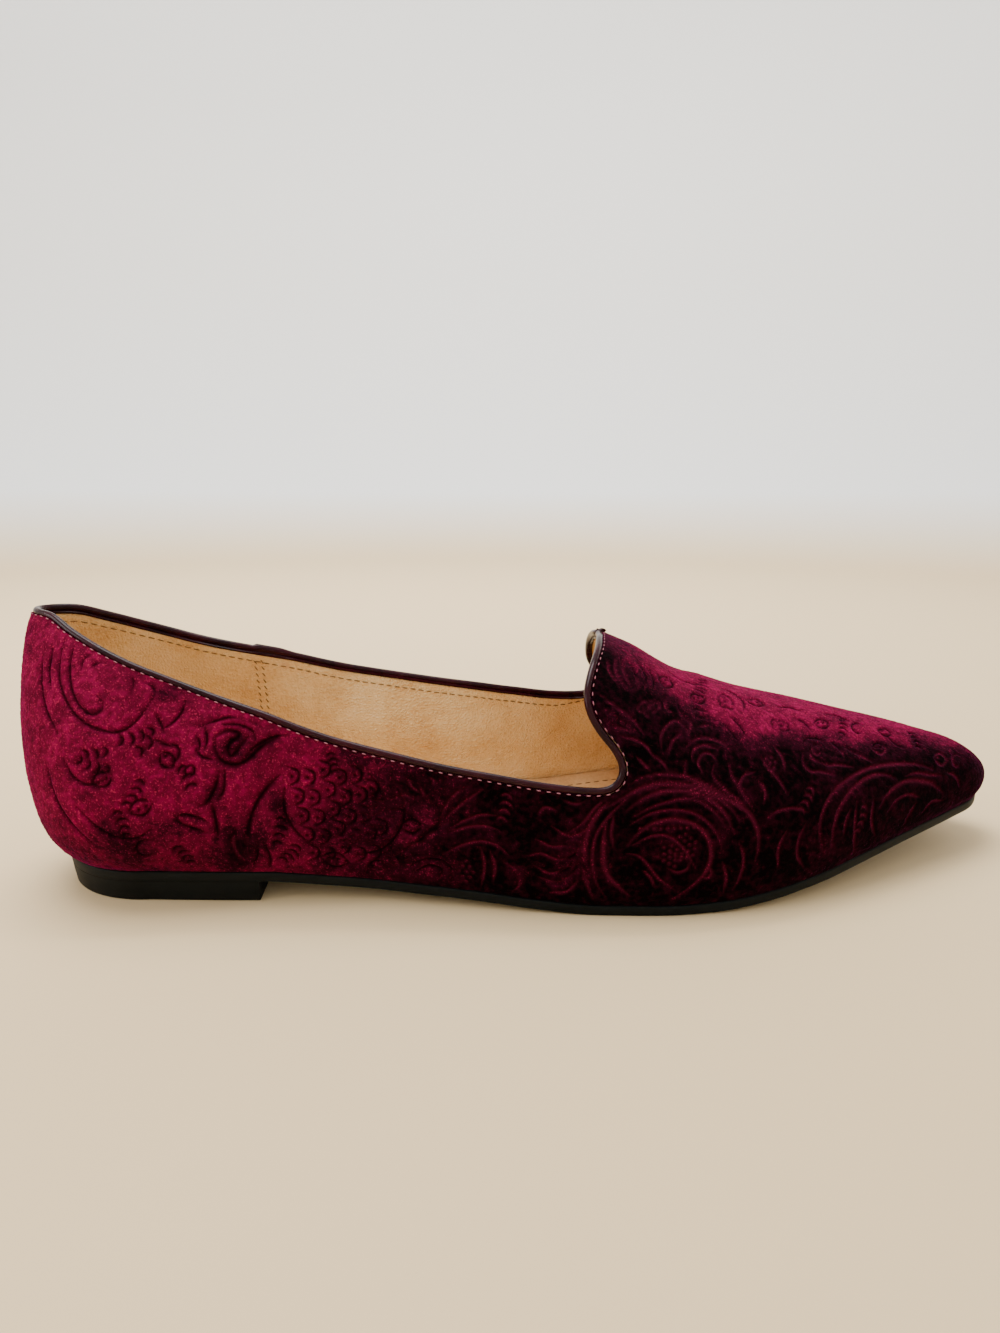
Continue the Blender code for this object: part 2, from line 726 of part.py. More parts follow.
VELVET = material("velvet", (0.180, 0.006, 0.035), 0.85)
PATENT = material("patent_leather", (0.090, 0.008, 0.016), 0.18)
LINING = material("lining_leather", (0.560, 0.330, 0.150), 0.55)
SOLE_RUBBER = material("sole_rubber", (0.012, 0.016, 0.018), 0.45)

surface, quads, rim_loop = upper_surface()
outward = vertex_normals(surface, quads)
make_upper(surface, quads, outward)
make_piping(surface, outward, rim_loop)
make_outsole()
make_insole()
make_heel_block()
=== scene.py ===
# %% [markdown]
# A velvet loafer, dressed round its solids
#
# The shoe is a right-foot slip-on: embossed burgundy velvet outside, tan
# leather inside, a patent-leather beading round the collar, and a thin black
# sole with a low heel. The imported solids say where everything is. This lesson
# loads them first and then makes each visible skin from the same few sizes, so
# every new piece lies exactly where its solid is.

# %% The frame
import math

import bmesh
import bpy
import numpy as np
from mathutils import Matrix, Vector
from mathutils.kdtree import KDTree


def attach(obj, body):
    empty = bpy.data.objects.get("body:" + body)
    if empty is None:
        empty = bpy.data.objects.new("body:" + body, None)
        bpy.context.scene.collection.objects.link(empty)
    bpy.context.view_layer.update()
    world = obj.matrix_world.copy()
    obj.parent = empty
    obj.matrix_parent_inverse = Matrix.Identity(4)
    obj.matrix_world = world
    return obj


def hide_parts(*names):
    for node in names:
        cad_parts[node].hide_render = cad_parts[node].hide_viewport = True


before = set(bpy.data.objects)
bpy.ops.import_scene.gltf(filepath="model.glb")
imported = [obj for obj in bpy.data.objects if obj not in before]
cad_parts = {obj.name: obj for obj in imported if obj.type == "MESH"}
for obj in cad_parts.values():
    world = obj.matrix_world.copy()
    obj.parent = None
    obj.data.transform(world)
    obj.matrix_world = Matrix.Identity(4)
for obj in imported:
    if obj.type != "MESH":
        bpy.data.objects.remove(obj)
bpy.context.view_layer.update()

MM = 0.001

# %% [markdown]
# The camera comes first, because everything is judged through it. It stands
# close to the outer side of the shoe and looks a little down, as a phone does
# when it is held over a table. The picture is 1000 by 1333 pixels, and the
# focal length in those pixels gives the lens for a 36 mm wide sensor.

# %% Camera
PICTURE_HIGH = 1333
FOCAL_PIXELS = 731.4
SENSOR = 36.0
EYE = Vector((66.8 * MM, -182.9 * MM, 92.9 * MM))
YAW, PITCH, ROLL = (math.radians(a) for a in (5.22, 13.12, 0.16))


def camera_axes():
    """Right, up and forward of the camera, turned by yaw, then pitch, then roll."""
    ahead = Vector((math.sin(YAW), math.cos(YAW), 0.0))
    right = Vector((math.cos(YAW), -math.sin(YAW), 0.0))
    forward = ahead * math.cos(PITCH) - Vector((0, 0, 1)) * math.sin(PITCH)
    up = Vector((0, 0, 1)) * math.cos(PITCH) + ahead * math.sin(PITCH)
    rolled = right * math.cos(ROLL) + up * math.sin(ROLL)
    return rolled, up * math.cos(ROLL) - right * math.sin(ROLL), forward


def make_camera():
    data = bpy.data.cameras.new("camera")
    data.lens = FOCAL_PIXELS * SENSOR / PICTURE_HIGH
    data.sensor_width = SENSOR
    data.clip_start = 0.01
    camera = bpy.data.objects.new("camera", data)
    bpy.context.scene.collection.objects.link(camera)
    right, up, forward = camera_axes()
    camera.matrix_world = Matrix.Translation(EYE) @ Matrix((right, up, -forward)).transposed().to_4x4()
    bpy.context.scene.camera = camera
    return camera


camera = make_camera()
print("lens", round(camera.data.lens, 2), "mm")

# %% [markdown]
# Colours are written as the hex values that a picture shows. Shaders work in
# linear light, so one function turns them. A second small function adds a
# node with its settings and links, and every material below is built with it.

# %% Colour and node helpers


def linear(code):
    """Linear RGBA from an sRGB hex code."""
    values = [int(code[i:i + 2], 16) / 255 for i in (1, 3, 5)]
    bent = [v / 12.92 if v <= 0.04045 else ((v + 0.055) / 1.055) ** 2.4 for v in values]
    return (*bent, 1.0)


def add(tree, kind, inputs=None, **settings):
    """A node with its settings; inputs maps a socket to a value or to another socket."""
    item = tree.nodes.new(kind)
    for name, value in settings.items():
        setattr(item, name, value)
    for key, value in (inputs or {}).items():
        if isinstance(value, bpy.types.NodeSocket):
            tree.links.new(value, item.inputs[key])
        else:
            item.inputs[key].default_value = value
    return item


def new_material(name):
    """An empty material: its tree, its shader and its Object coordinates."""
    look = bpy.data.materials.new(name)
    look.use_nodes = True
    tree = look.node_tree
    shader = tree.nodes["Principled BSDF"]
    place = add(tree, "ShaderNodeTexCoord").outputs["Object"]
    return look, tree, shader, place


def per_mm(size):
    """Texture scale of a pattern whose cells are size millimetres wide."""
    return 1.0 / (size * MM)


def ramp(tree, factor, stops):
    """Colour ramp through (position, colour) stops."""
    item = add(tree, "ShaderNodeValToRGB", {"Fac": factor})
    for k, (position, colour) in enumerate(stops):
        stop = item.color_ramp.elements[k] if k < 2 else item.color_ramp.elements.new(position)
        stop.position = position
        stop.color = colour
    return item.outputs["Color"]


def blend(tree, factor, a, b):
    """Mix of two colours."""
    return add(tree, "ShaderNodeMix", {"Factor": factor, 6: a, 7: b}, data_type="RGBA").outputs[2]


def sum_up(tree, *terms):
    """Sum of (socket, weight) terms, kept between 0 and 1 at the end."""
    total = None
    for socket, weight in terms:
        if total is None:
            total = add(tree, "ShaderNodeMath", {0: socket, 1: weight}, operation="MULTIPLY")
        else:
            total = add(tree, "ShaderNodeMath", {0: socket, 1: weight, 2: total.outputs[0]},
                        operation="MULTIPLY_ADD")
    return total.outputs[0]


def surface(tree, shader, colour, height, strength, distance, constants):
    """Links colour and bump to the shader and sets the constants on their sockets."""
    tree.links.new(colour, shader.inputs["Base Color"])
    bump = add(tree, "ShaderNodeBump", {"Height": height, "Strength": strength, "Distance": distance})
    tree.links.new(bump.outputs["Normal"], shader.inputs["Normal"])
    for name, value in constants.items():
        shader.inputs[name].default_value = value


# %% [markdown]
# The form of the last. These are the sizes and tables that shape the solids:
# half widths as shares of the ball's width, heights as shares of the instep
# and the collar, stations along the length. A smooth curve runs through each
# table. Here the functions take whole arrays, because the skins have a hundred
# times more points than the solids.

# %% Sizes and tables of the last
LENGTH = 252.5 * MM
BALL_WIDTH = 75.0 * MM
COLLAR_RISE = 58.7 * MM
INSTEP_RISE = 56.7 * MM
HEEL_HEIGHT = 5.2 * MM
TOE_SPRING = 12.0 * MM
ARCH_LIFT = 1.5 * MM
BACK_CURVE = 8.0 * MM
SOLE_THICKNESS = 2.4 * MM
INSOLE_THICKNESS = 2.2 * MM
WALL = 2.0 * MM
CLEARANCE = 0.3 * MM
HEEL_SEAT = 32.0 * MM
TOE_ROUND = 12.0 * MM
BREAST_STATION = 57.5 * MM
NOSE_TUCK = 2.4 * MM
HEEL_TAPER = 0.6 * MM
ARCH_REACH = 0.33
QUARTER_END = 0.30
VAMP_START = 0.48
LOW_SHARE = 0.18

BODY_COLUMNS = ("station", "lateral", "medial", "tuck", "collar", "bulge", "round")
BODY = (
    (0.126, 0.364, 0.350, 0.078, 0.236, 0.230, 2.20),
    (0.177, 0.361, 0.344, 0.056, 0.256, 0.230, 2.20),
    (0.236, 0.356, 0.332, 0.034, 0.307, 0.225, 2.20),
    (0.315, 0.367, 0.318, 0.026, 0.352, 0.215, 2.20),
    (0.394, 0.409, 0.326, 0.018, 0.400, 0.205, 2.20),
    (0.472, 0.461, 0.362, 0.012, 0.448, 0.195, 2.20),
    (0.551, 0.502, 0.424, 0.010, 0.485, 0.190, 2.15),
    (0.610, 0.518, 0.470, 0.010, 0.500, 0.175, 2.10),
    (0.650, 0.516, 0.489, 0.010, 0.500, 0.160, 2.10),
    (0.689, 0.499, 0.492, 0.010, 0.490, 0.150, 2.10),
    (0.748, 0.450, 0.467, 0.011, 0.440, 0.130, 2.10),
    (0.807, 0.376, 0.412, 0.012, 0.370, 0.115, 2.15),
    (0.866, 0.294, 0.336, 0.012, 0.280, 0.100, 2.20),
    (0.925, 0.212, 0.243, 0.012, 0.190, 0.080, 2.25),
    (0.957, 0.165, 0.190, 0.011, 0.150, 0.065, 2.25),
    (1.000, 0.108, 0.122, 0.010, 0.100, 0.050, 2.25),
)
CREST = (
    (0.300, 1.62), (0.400, 1.46), (0.480, 1.25), (0.520, 1.12), (0.561, 1.003),
    (0.602, 0.918), (0.622, 0.862), (0.645, 0.803), (0.673, 0.757), (0.724, 0.660),
    (0.780, 0.567), (0.839, 0.462), (0.898, 0.362), (0.945, 0.275), (0.970, 0.230),
    (1.000, 0.175),
)
SOLE_LINE_COLUMNS = ("station", "heel", "spring", "arch")
SOLE_LINE = (
    (0.000, 1.00, 0.000, 0.00),
    (0.004, 1.00, 0.000, 0.00),
    (0.052, 0.88, 0.000, 0.45),
    (0.088, 0.77, 0.000, 0.80),
    (0.148, 0.61, 0.000, 1.00),
    (0.208, 0.48, 0.000, 1.00),
    (0.268, 0.35, 0.000, 0.70),
    (0.324, 0.17, 0.000, 0.25),
    (0.368, 0.04, 0.000, 0.00),
    (0.391, 0.00, 0.000, 0.00),
    (0.489, 0.00, 0.000, 0.00),
    (0.534, 0.00, 0.025, 0.00),
    (0.592, 0.00, 0.100, 0.00),
    (0.678, 0.00, 0.280, 0.00),
    (0.785, 0.00, 0.540, 0.00),
    (0.885, 0.00, 0.760, 0.00),
    (1.000, 0.00, 1.000, 0.00),
)
COLLAR_COLUMNS = ("station", "lateral", "medial")
COLLAR = (
    (0.000, 0.990, 0.990),
    (0.028, 0.985, 0.985),
    (0.059, 0.932, 0.943),
    (0.098, 0.860, 0.882),
    (0.142, 0.782, 0.818),
    (0.189, 0.702, 0.762),
    (0.236, 0.637, 0.705),
    (0.295, 0.562, 0.652),
    (0.354, 0.515, 0.617),
    (0.406, 0.480, 0.595),
    (0.449, 0.464, 0.581),
    (0.492, 0.453, 0.566),
    (0.524, 0.450, 0.551),
    (0.555, 0.455, 0.541),
    (0.600, 0.470, 0.541),
)
LATERAL_THROAT = (
    (0.524, 0.000), (0.542, 0.006), (0.5540, 0.064), (0.5600, 0.187),
    (0.554, 0.329), (0.542, 0.456), (0.5335, 0.590), (0.5330, 0.718),
    (0.543, 0.877), (0.558, 0.991), (0.565, 1.000),
)
MEDIAL_THROAT = (
    (0.555, 0.000), (0.572, 0.007), (0.585, 0.069), (0.592, 0.195),
    (0.589, 0.333), (0.582, 0.437), (0.575, 0.540), (0.571, 0.667),
    (0.568, 0.828), (0.566, 0.977), (0.565, 1.000),
)
BACK_LINE = (
    (0.00, 0.88), (0.04, 0.66), (0.09, 0.44), (0.16, 0.27), (0.26, 0.13),
    (0.40, 0.02), (0.54, 0.00), (0.70, 0.08), (0.86, 0.24), (1.00, 0.50),
)
LATERAL, MEDIAL = -1, 1

# %% [markdown]
# A monotone cubic curve goes through each table without the humps that a
# plain spline makes between close points. On top of it sit the plain-worded
# functions of the shoe: how wide the body is at a station, where the wall
# meets the sole, how high the collar runs.

# %% Curves of the last


def smooth(points, x):
    """Monotone cubic curve through a table of (x, y) points."""
    xs = np.array([p[0] for p in points], float)
    ys = np.array([p[1] for p in points], float)
    x = np.clip(np.asarray(x, float), xs[0], xs[-1])
    step = np.diff(xs)
    rate = np.diff(ys) / step
    slope = np.zeros(len(xs))
    same = rate[:-1] * rate[1:] > 0
    w1 = 2 * step[1:] + step[:-1]
    w2 = step[1:] + 2 * step[:-1]
    safe = np.where(same, rate[:-1] * rate[1:], 1.0)
    mean = (w1 + w2) * safe / (w1 * rate[1:] + w2 * rate[:-1] + np.where(same, 0.0, 1e9))
    slope[1:-1] = np.where(same, mean, 0.0)
    slope[0] = rate[0]
    slope[-1] = rate[-1]
    i = np.clip(np.searchsorted(xs, x, side="right") - 1, 0, len(step) - 1)
    t = (x - xs[i]) / step[i]
    a = ys[i] * (1 + 2 * t) * (1 - t) ** 2 + ys[i + 1] * t * t * (3 - 2 * t)
    b = slope[i] * t * (1 - t) ** 2 - slope[i + 1] * t * t * (1 - t)
    return a + b * step[i]


def column(table, names, name):
    """One named column of a table, with the station before it."""
    k = names.index(name)
    return [(row[0], row[k]) for row in table]


def ease(value, start, end):
    """0 before start, 1 after end, and a smooth step between."""
    t = np.clip((value - start) / (end - start), 0.0, 1.0)
    return t * t * (3 - 2 * t)


def sole_bottom(x, y):
    s = (x - BREAST_STATION) / (LENGTH - BREAST_STATION)
    heel, spring, arch = (smooth(column(SOLE_LINE, SOLE_LINE_COLUMNS, name), s)
                          for name in SOLE_LINE_COLUMNS[1:])
    inward = np.clip(y / (BALL_WIDTH * ARCH_REACH), 0.0, 1.2)
    return heel * HEEL_HEIGHT + spring * TOE_SPRING + arch * ARCH_LIFT * inward ** 2


def bed(x, y):
    """Height of the outsole's top."""
    return sole_bottom(x, y) + SOLE_THICKNESS


def tip_round(x):
    t = np.clip((x - LENGTH + TOE_ROUND) / TOE_ROUND, 0.0, 1.0)
    return np.sqrt(1 - t * t)


def body(x, name):
    return smooth(column(BODY, BODY_COLUMNS, name), x / LENGTH)


def side_name(side):
    return "lateral" if side < 0 else "medial"


def widest(x, side):
    return body(x, side_name(side)) * BALL_WIDTH * tip_round(x)


def nose_shift(x, low):
    t = np.clip((x - LENGTH + TOE_ROUND) / TOE_ROUND, 0.0, 1.0)
    return NOSE_TUCK * (1 - low) ** 2 * t * t


def edge_width(x, side):
    return widest(x, side) - body(x, "tuck") * BALL_WIDTH * tip_round(x)


def foot_height(x, side):
    return bed(x, side * edge_width(x, side)) + CLEARANCE


def bulge_height(x, side):
    return foot_height(x, side) + body(x, "bulge") * INSTEP_RISE


def crest_height(x):
    low = bulge_height(x, LATERAL)
    top = bed(x, 0) + smooth(CREST, x / LENGTH) * INSTEP_RISE
    return low + (top - low) * tip_round(x)


def collar_height(x, side):
    share = smooth(column(COLLAR, COLLAR_COLUMNS, side_name(side)), x / LENGTH)
    return bed(x, 0) + share * COLLAR_RISE


def wall_width(x, z, side):
    """Half width of the upper's outer face at a height."""
    w = widest(x, side)
    foot = foot_height(x, side)
    bulge = bulge_height(x, side)
    crest = crest_height(x)
    n = body(x, "round")
    rim = collar_height(x, side)
    below = np.clip((bulge - z) / (bulge - foot), 0.0, 1.0)
    low = w - (w - edge_width(x, side)) * below ** 2
    up = np.clip((z - bulge) / (crest - bulge), 0.0, 1.0)
    arch = w * (1 - up ** n) ** (1 / n)
    collar = body(x, "collar") * BALL_WIDTH + (w - widest(x, LATERAL)) / 2
    lean = w - (w - collar) * np.clip((z - bulge) / (rim - bulge), 0.0, 2.0) ** 2
    share = ease(x, QUARTER_END * LENGTH, VAMP_START * LENGTH)
    return np.where(z < bulge, low, lean * (1 - share) + arch * share)


def back_line(z):
    return smooth(BACK_LINE, (z - bed(0, 0)) / COLLAR_RISE) * BACK_CURVE


def arch_point(x, t, side):
    """Points of the vamp: t runs from the sole's edge, 0, to the crest, 1."""
    w = widest(x, side)
    foot = foot_height(x, side)
    bulge = bulge_height(x, side)
    crest = crest_height(x)
    n = body(x, "round")
    low = np.clip(t / LOW_SHARE, 0.0, 1.0)
    angle = np.clip((t - LOW_SHARE) / (1 - LOW_SHARE), 0.0, 1.0) * math.pi / 2
    y_low = w - (w - edge_width(x, side)) * (1 - low) ** 2
    z_low = foot + (bulge - foot) * low
    y_up = w * np.cos(angle).clip(0) ** (2 / n)
    z_up = bulge + (crest - bulge) * np.sin(angle) ** (2 / n)
    under = t < LOW_SHARE
    y = side * np.where(under, y_low, y_up)
    return np.stack([x - nose_shift(x, low), y, np.where(under, z_low, z_up)], axis=-1)


def arch_share(x, z, side):
    """The t of arch_point at a height."""
    foot = foot_height(x, side)
    bulge = bulge_height(x, side)
    crest = crest_height(x)
    n = body(x, "round")
    up = np.clip((z - bulge) / (crest - bulge), 0.0, 1.0)
    above = LOW_SHARE + (1 - LOW_SHARE) * np.arcsin(up ** (n / 2)) * 2 / math.pi
    return np.where(z < bulge, LOW_SHARE * (z - foot) / (bulge - foot), above)


ORIGIN_STATION = (float(back_line(bed(0, 0))) + HEEL_TAPER + BREAST_STATION) / 2
print("origin at station", round(ORIGIN_STATION / MM, 2), "mm")

# %% [markdown]
# The upper's face is two grids that share an edge: the quarters with the
# round of the heel, whose columns run straight up, and the vamp, whose rows
# start at the throat and run to the toe. Rows and columns are counts, so the
# same function makes the fine velvet skin and the coarser lining. It returns
# arrays of points, and for each point its place on a chart: the distance along
# the shoe and the distance up from the sole, which the pattern needs.

# %% The upper's face as grids
HEEL_ARC, HEEL_LEVEL, HEEL_WRAP = 1.45, 0.8, 0.9
TIP_LAST_TURN = math.radians(88.5)
ROWS_EVEN_BY = 0.6
GIRTH_COLUMNS, GIRTH_ROWS, GIRTH_LAST = 160, 121, 119.999


def run_of(points):
    """Distance along a line at each of its points."""
    return np.concatenate([[0], np.cumsum(np.linalg.norm(np.diff(points, axis=0), axis=1))])


def places_along(points, run, at):
    """Places on a line at some distances along it."""
    return np.column_stack([np.interp(at, run, points[:, k]) for k in range(points.shape[1])])


def unit(vectors):
    return vectors / np.linalg.norm(vectors, axis=1)[:, None]


def read_grid(table, i, j):
    """Value between the cells of a table, at column i and row j."""
    i0, j0 = i.astype(int), j.astype(int)
    a, b = i - i0, j - j0
    low = table[j0, i0] * (1 - a) + table[j0, i0 + 1] * a
    high = table[j0 + 1, i0] * (1 - a) + table[j0 + 1, i0 + 1] * a
    return low * (1 - b) + high * b


def curve_through(points, count):
    """Evenly spaced points on a smooth curve through the given ones."""
    pts = np.array(points, float)
    pts = np.vstack([2 * pts[0] - pts[1], pts, 2 * pts[-1] - pts[-2]])
    fine = []
    for i in range(1, len(pts) - 2):
        a, b, c, d = pts[i - 1:i + 3]
        for t in np.linspace(0, 1, 16, endpoint=False):
            fine.append((2 * b + (c - a) * t + (2 * a - 5 * b + 4 * c - d) * t ** 2
                         + (3 * b - a - 3 * c + d) * t ** 3) / 2)
    fine = np.array(fine + [pts[-2]])
    run = run_of(fine)
    return places_along(fine, run, np.linspace(0, run[-1], count))


def throat_points(side, steps):
    """Edge of the throat on the vamp, as (station, t), from the seam to the crest."""
    table = LATERAL_THROAT if side < 0 else MEDIAL_THROAT
    low = float(collar_height(table[0][0] * LENGTH, side))
    crest = table[-1][0] * LENGTH
    climb = float(crest_height(crest)) - low
    stations = np.array([row[0] for row in table[:-1]]) * LENGTH
    heights = low + np.array([row[1] for row in table[:-1]]) * climb
    world = arch_point(stations, arch_share(stations, heights, side), side)
    world = np.vstack([world, arch_point(np.array([crest]), np.array([1.0]), side)])
    even = curve_through(world, steps + 1)
    share = arch_share(even[:, 0], even[:, 2], side)
    even[-1, 0] = crest
    share[-1] = 1.0
    return even[:, 0], share


def quarter_grid(side, rows, step):
    """Points of one side from the vamp's seam back to the heel's round."""
    table = LATERAL_THROAT if side < 0 else MEDIAL_THROAT
    seam = table[0][0] * LENGTH
    count = round((seam - HEEL_SEAT) / step)
    x = np.linspace(seam, HEEL_SEAT, count + 1)[None, :]
    foot = foot_height(x, side)
    z = foot + (collar_height(x, side) - foot) * np.linspace(0, 1, rows + 1)[:, None]
    x = np.broadcast_to(x, z.shape)
    return np.stack([x, side * wall_width(x, z, side), z], axis=-1), x


def heel_grid(side, rows, step):
    """Points of one half of the round heel, from its side to the very back."""
    count = round(HEEL_ARC * HEEL_SEAT / step)
    angle = np.linspace(math.pi / 2, 0, count + 1)[None, :]
    foot = foot_height(HEEL_SEAT, side)
    high = foot + HEEL_LEVEL * COLLAR_RISE
    reach = HEEL_SEAT - (HEEL_SEAT - back_line(high)) * np.cos(angle)
    rim = collar_height(reach, side)
    z = foot + (rim - foot) * np.linspace(0, 1, rows + 1)[:, None]
    back = back_line(z)
    half = wall_width(np.full(z.shape, HEEL_SEAT), z, side)
    x = HEEL_SEAT - (HEEL_SEAT - back) * np.cos(angle)
    y = side * half * np.sin(angle)
    round_off = np.broadcast_to(HEEL_SEAT - (math.pi / 2 - angle) * HEEL_WRAP * HEEL_SEAT, z.shape)
    return np.stack([x, y, z], axis=-1), round_off


def vamp_grid(side, rows, tab_rows, step, tip_steps):
    """Points of one side of the vamp: rows from the sole to the crest."""
    throat_x, throat_t = throat_points(side, tab_rows)
    seam = throat_x[0]
    foot = foot_height(seam, side)
    climb = (collar_height(seam, side) - foot) * np.arange(rows + 1) / rows
    wall_t = arch_share(np.full(rows + 1, seam), foot + climb, side)
    start = np.concatenate([np.full(rows + 1, seam), throat_x[1:]])[:, None]
    t0 = np.concatenate([wall_t, throat_t[1:]])[:, None]
    tip = LENGTH - TOE_ROUND
    count = round((tip - throat_x[-1]) / step)
    s = np.linspace(0, 1, count + 1)[None, :]
    turn = np.sin(np.linspace(0, TIP_LAST_TURN, tip_steps + 1))[None, 1:]
    tip_x = np.broadcast_to(tip + TOE_ROUND * turn, (len(start), tip_steps))
    x = np.hstack([start + (tip - start) * s, tip_x])
    front = float(start.max())
    goal = np.linspace(0, 1, len(start))[:, None]
    t = t0 + (goal - t0) * ease(x, front, front + ROWS_EVEN_BY * (LENGTH - front))
    return arch_point(x, t, side), x, t


def climb_of(points):
    """Distance up from the sole at each point of a grid whose rows go up."""
    step = np.linalg.norm(np.diff(points, axis=0), axis=-1)
    return np.vstack([np.zeros((1, points.shape[1])), np.cumsum(step, axis=0)])


def girth_table(side):
    """Distance round the vamp from the sole, on a grid of stations and shares."""
    x = np.linspace(0.50 * LENGTH, LENGTH - 0.05 * MM, GIRTH_COLUMNS)[None, :]
    t = np.linspace(0, 1, GIRTH_ROWS)[:, None]
    shape = (GIRTH_ROWS, GIRTH_COLUMNS)
    points = arch_point(np.broadcast_to(x, shape), np.broadcast_to(t, shape), side)
    return x[0], climb_of(points)


def girth_at(side, x, t):
    """Distance round the vamp from the sole at a station and share."""
    stations, table = girth_table(side)
    i = np.clip((x - stations[0]) / (stations[1] - stations[0]), 0, len(stations) - 1.001)
    j = np.clip(t, 0, 1) * GIRTH_LAST
    return read_grid(table, i, j)


class Face:
    """Outer face of the upper as flat arrays, with the pattern's chart."""

    def __init__(self, rows, tab_rows, step, tip_steps):
        self.points = np.zeros((0, 3))
        self.along = np.zeros(0)
        self.up = np.zeros(0)
        self.rows = rows
        grids = []
        for side in (LATERAL, MEDIAL):
            quarter, along = quarter_grid(side, rows, step)
            heel, off = heel_grid(side, rows, step)
            points = np.hstack([quarter, heel[:, 1:]])
            along = np.hstack([along, off[:, 1:]])
            grids.append(self.put(points, along, climb_of(points)))
        lateral, medial = grids
        medial[:, -1] = lateral[:, -1]
        self.wall = np.hstack([lateral, medial[:, -2::-1]])
        self.back = lateral.shape[1] - 1
        sides = []
        for side, seam in ((LATERAL, lateral[:, 0]), (MEDIAL, medial[:, 0])):
            points, x, t = vamp_grid(side, rows, tab_rows, step, tip_steps)
            index = self.put(points, x, girth_at(side, x, t))
            index[:rows + 1, 0] = seam
            sides.append(index)
        sides[1][-1] = sides[0][-1]
        self.vamp = np.vstack([sides[0], sides[1][-2::-1]])
        top = len(sides[0]) - 1
        low = self.points[sides[0][:-1, -1]]
        share = np.minimum(np.arange(top) / top / LOW_SHARE, 1.0)
        nose = low.copy()
        nose[:, 0] = LENGTH - nose_shift(LENGTH, share)
        nose[:, 1] = 0.0
        nose_index = self.put(nose, nose[:, 0], self.up[sides[0][:-1, -1]])
        self.nose = np.concatenate([nose_index, [sides[0][-1, -1]]])
        self.left_end = sides[0][:, -1]
        self.right_end = sides[1][:, -1]
        self.tab = (sides[0], sides[1])

    def put(self, points, along, up):
        """Adds a grid of points and returns their numbers in its shape."""
        count = points[..., 0].size
        index = np.arange(len(self.points), len(self.points) + count).reshape(points.shape[:-1])
        self.points = np.vstack([self.points, points.reshape(-1, 3)])
        self.along = np.concatenate([self.along, np.broadcast_to(along, points.shape[:-1]).ravel()])
        self.up = np.concatenate([self.up, np.broadcast_to(up, points.shape[:-1]).ravel()])
        return index

    def quarter(self, side):
        """Faces of one quarter and half the heel, wound to look outward."""
        w = self.wall[:, :self.back + 1] if side < 0 else self.wall[:, self.back:]
        return np.stack([w[:-1, 1:], w[:-1, :-1], w[1:, :-1], w[1:, 1:]], axis=-1).reshape(-1, 4)

    def half_vamp(self, side):
        """Faces of one side of the vamp and half the closed nose."""
        top = len(self.tab[0]) - 1
        v = self.vamp[:top + 1] if side < 0 else self.vamp[top:]
        sheet = np.stack([v[:-1, :-1], v[:-1, 1:], v[1:, 1:], v[1:, :-1]], axis=-1).reshape(-1, 4)
        n, a, b = self.nose, self.left_end, self.right_end
        left = np.stack([a[:-1], n[:-1], n[1:], a[1:]], axis=-1)
        right = np.stack([n[:-1], b[:-1], b[1:], n[1:]], axis=-1)
        return np.vstack([sheet, left if side < 0 else right])

    def faces(self):
        """All faces of the upper."""
        sides = (LATERAL, MEDIAL)
        return np.vstack([self.quarter(s) for s in sides] + [self.half_vamp(s) for s in sides])

    def foot(self):
        """The edge along the sole as a closed loop."""
        return np.concatenate([self.wall[0], self.vamp[-1, 1:], [self.nose[0]], self.vamp[0, :0:-1]])

    def rim(self):
        """The rim as a closed loop, from the tab's crest round the heel and back."""
        lateral, medial = self.tab
        r = self.rows
        return np.concatenate([lateral[:r:-1, 0], self.wall[-1], medial[r + 1:-1, 0]])


def normals_of(points, faces):
    """Area-weighted outward normals."""
    p = points[faces]
    n = np.cross(p[:, 2] - p[:, 0], p[:, 3] - p[:, 1])
    total = np.zeros_like(points)
    for k in range(4):
        np.add.at(total, faces[:, k], n)
    size = np.linalg.norm(total, axis=1)[:, None]
    return np.where(size > 1e-12, total / np.maximum(size, 1e-12), (0.0, 0.0, 1.0))


FACE_ROWS, FACE_TAB_ROWS, FACE_STEP, FACE_TIP_STEPS = 110, 84, 0.38 * MM, 44
skin = Face(FACE_ROWS, FACE_TAB_ROWS, FACE_STEP, FACE_TIP_STEPS)
skin_faces = skin.faces()
skin_normals = normals_of(skin.points, skin_faces)
print("velvet skin:", len(skin.points), "points,", len(skin_faces), "faces")

# %% [markdown]
# Small helpers turn arrays into objects. A piece's place is in its mesh and
# its object stays at the origin. Points arrive as stations from the back of
# the heel, so the origin's station is taken off here, once, for every piece.

# %% Mesh helpers


def to_row(points):
    """Stations to the row's frame."""
    return np.asarray(points, float) - np.array((ORIGIN_STATION, 0.0, 0.0))


def mesh_piece(name, points, faces, look=None, normals=None, attributes=None):
    """An object from arrays; loose points and repeated corners are dropped."""
    faces = [[int(v) for k, v in enumerate(f) if v != f[k - 1]] for f in faces]
    faces = [f for f in faces if len(f) > 2]
    used = np.unique(np.concatenate([np.array(f) for f in faces]))
    place = np.full(len(points), -1)
    place[used] = np.arange(len(used))
    mesh = bpy.data.meshes.new(name)
    mesh.from_pydata(to_row(points)[used].tolist(), [], [[int(place[k]) for k in f] for f in faces])
    for key, values in (attributes or {}).items():
        layer = mesh.attributes.new(key, "FLOAT", "POINT")
        layer.data.foreach_set("value", np.asarray(values, np.float32)[used])
    mesh.shade_smooth()
    if normals is not None:
        mesh.normals_split_custom_set_from_vertices(normals[used].tolist())
    item = bpy.data.objects.new(name, mesh)
    bpy.context.scene.collection.objects.link(item)
    if look is not None:
        mesh.materials.append(look)
    return item


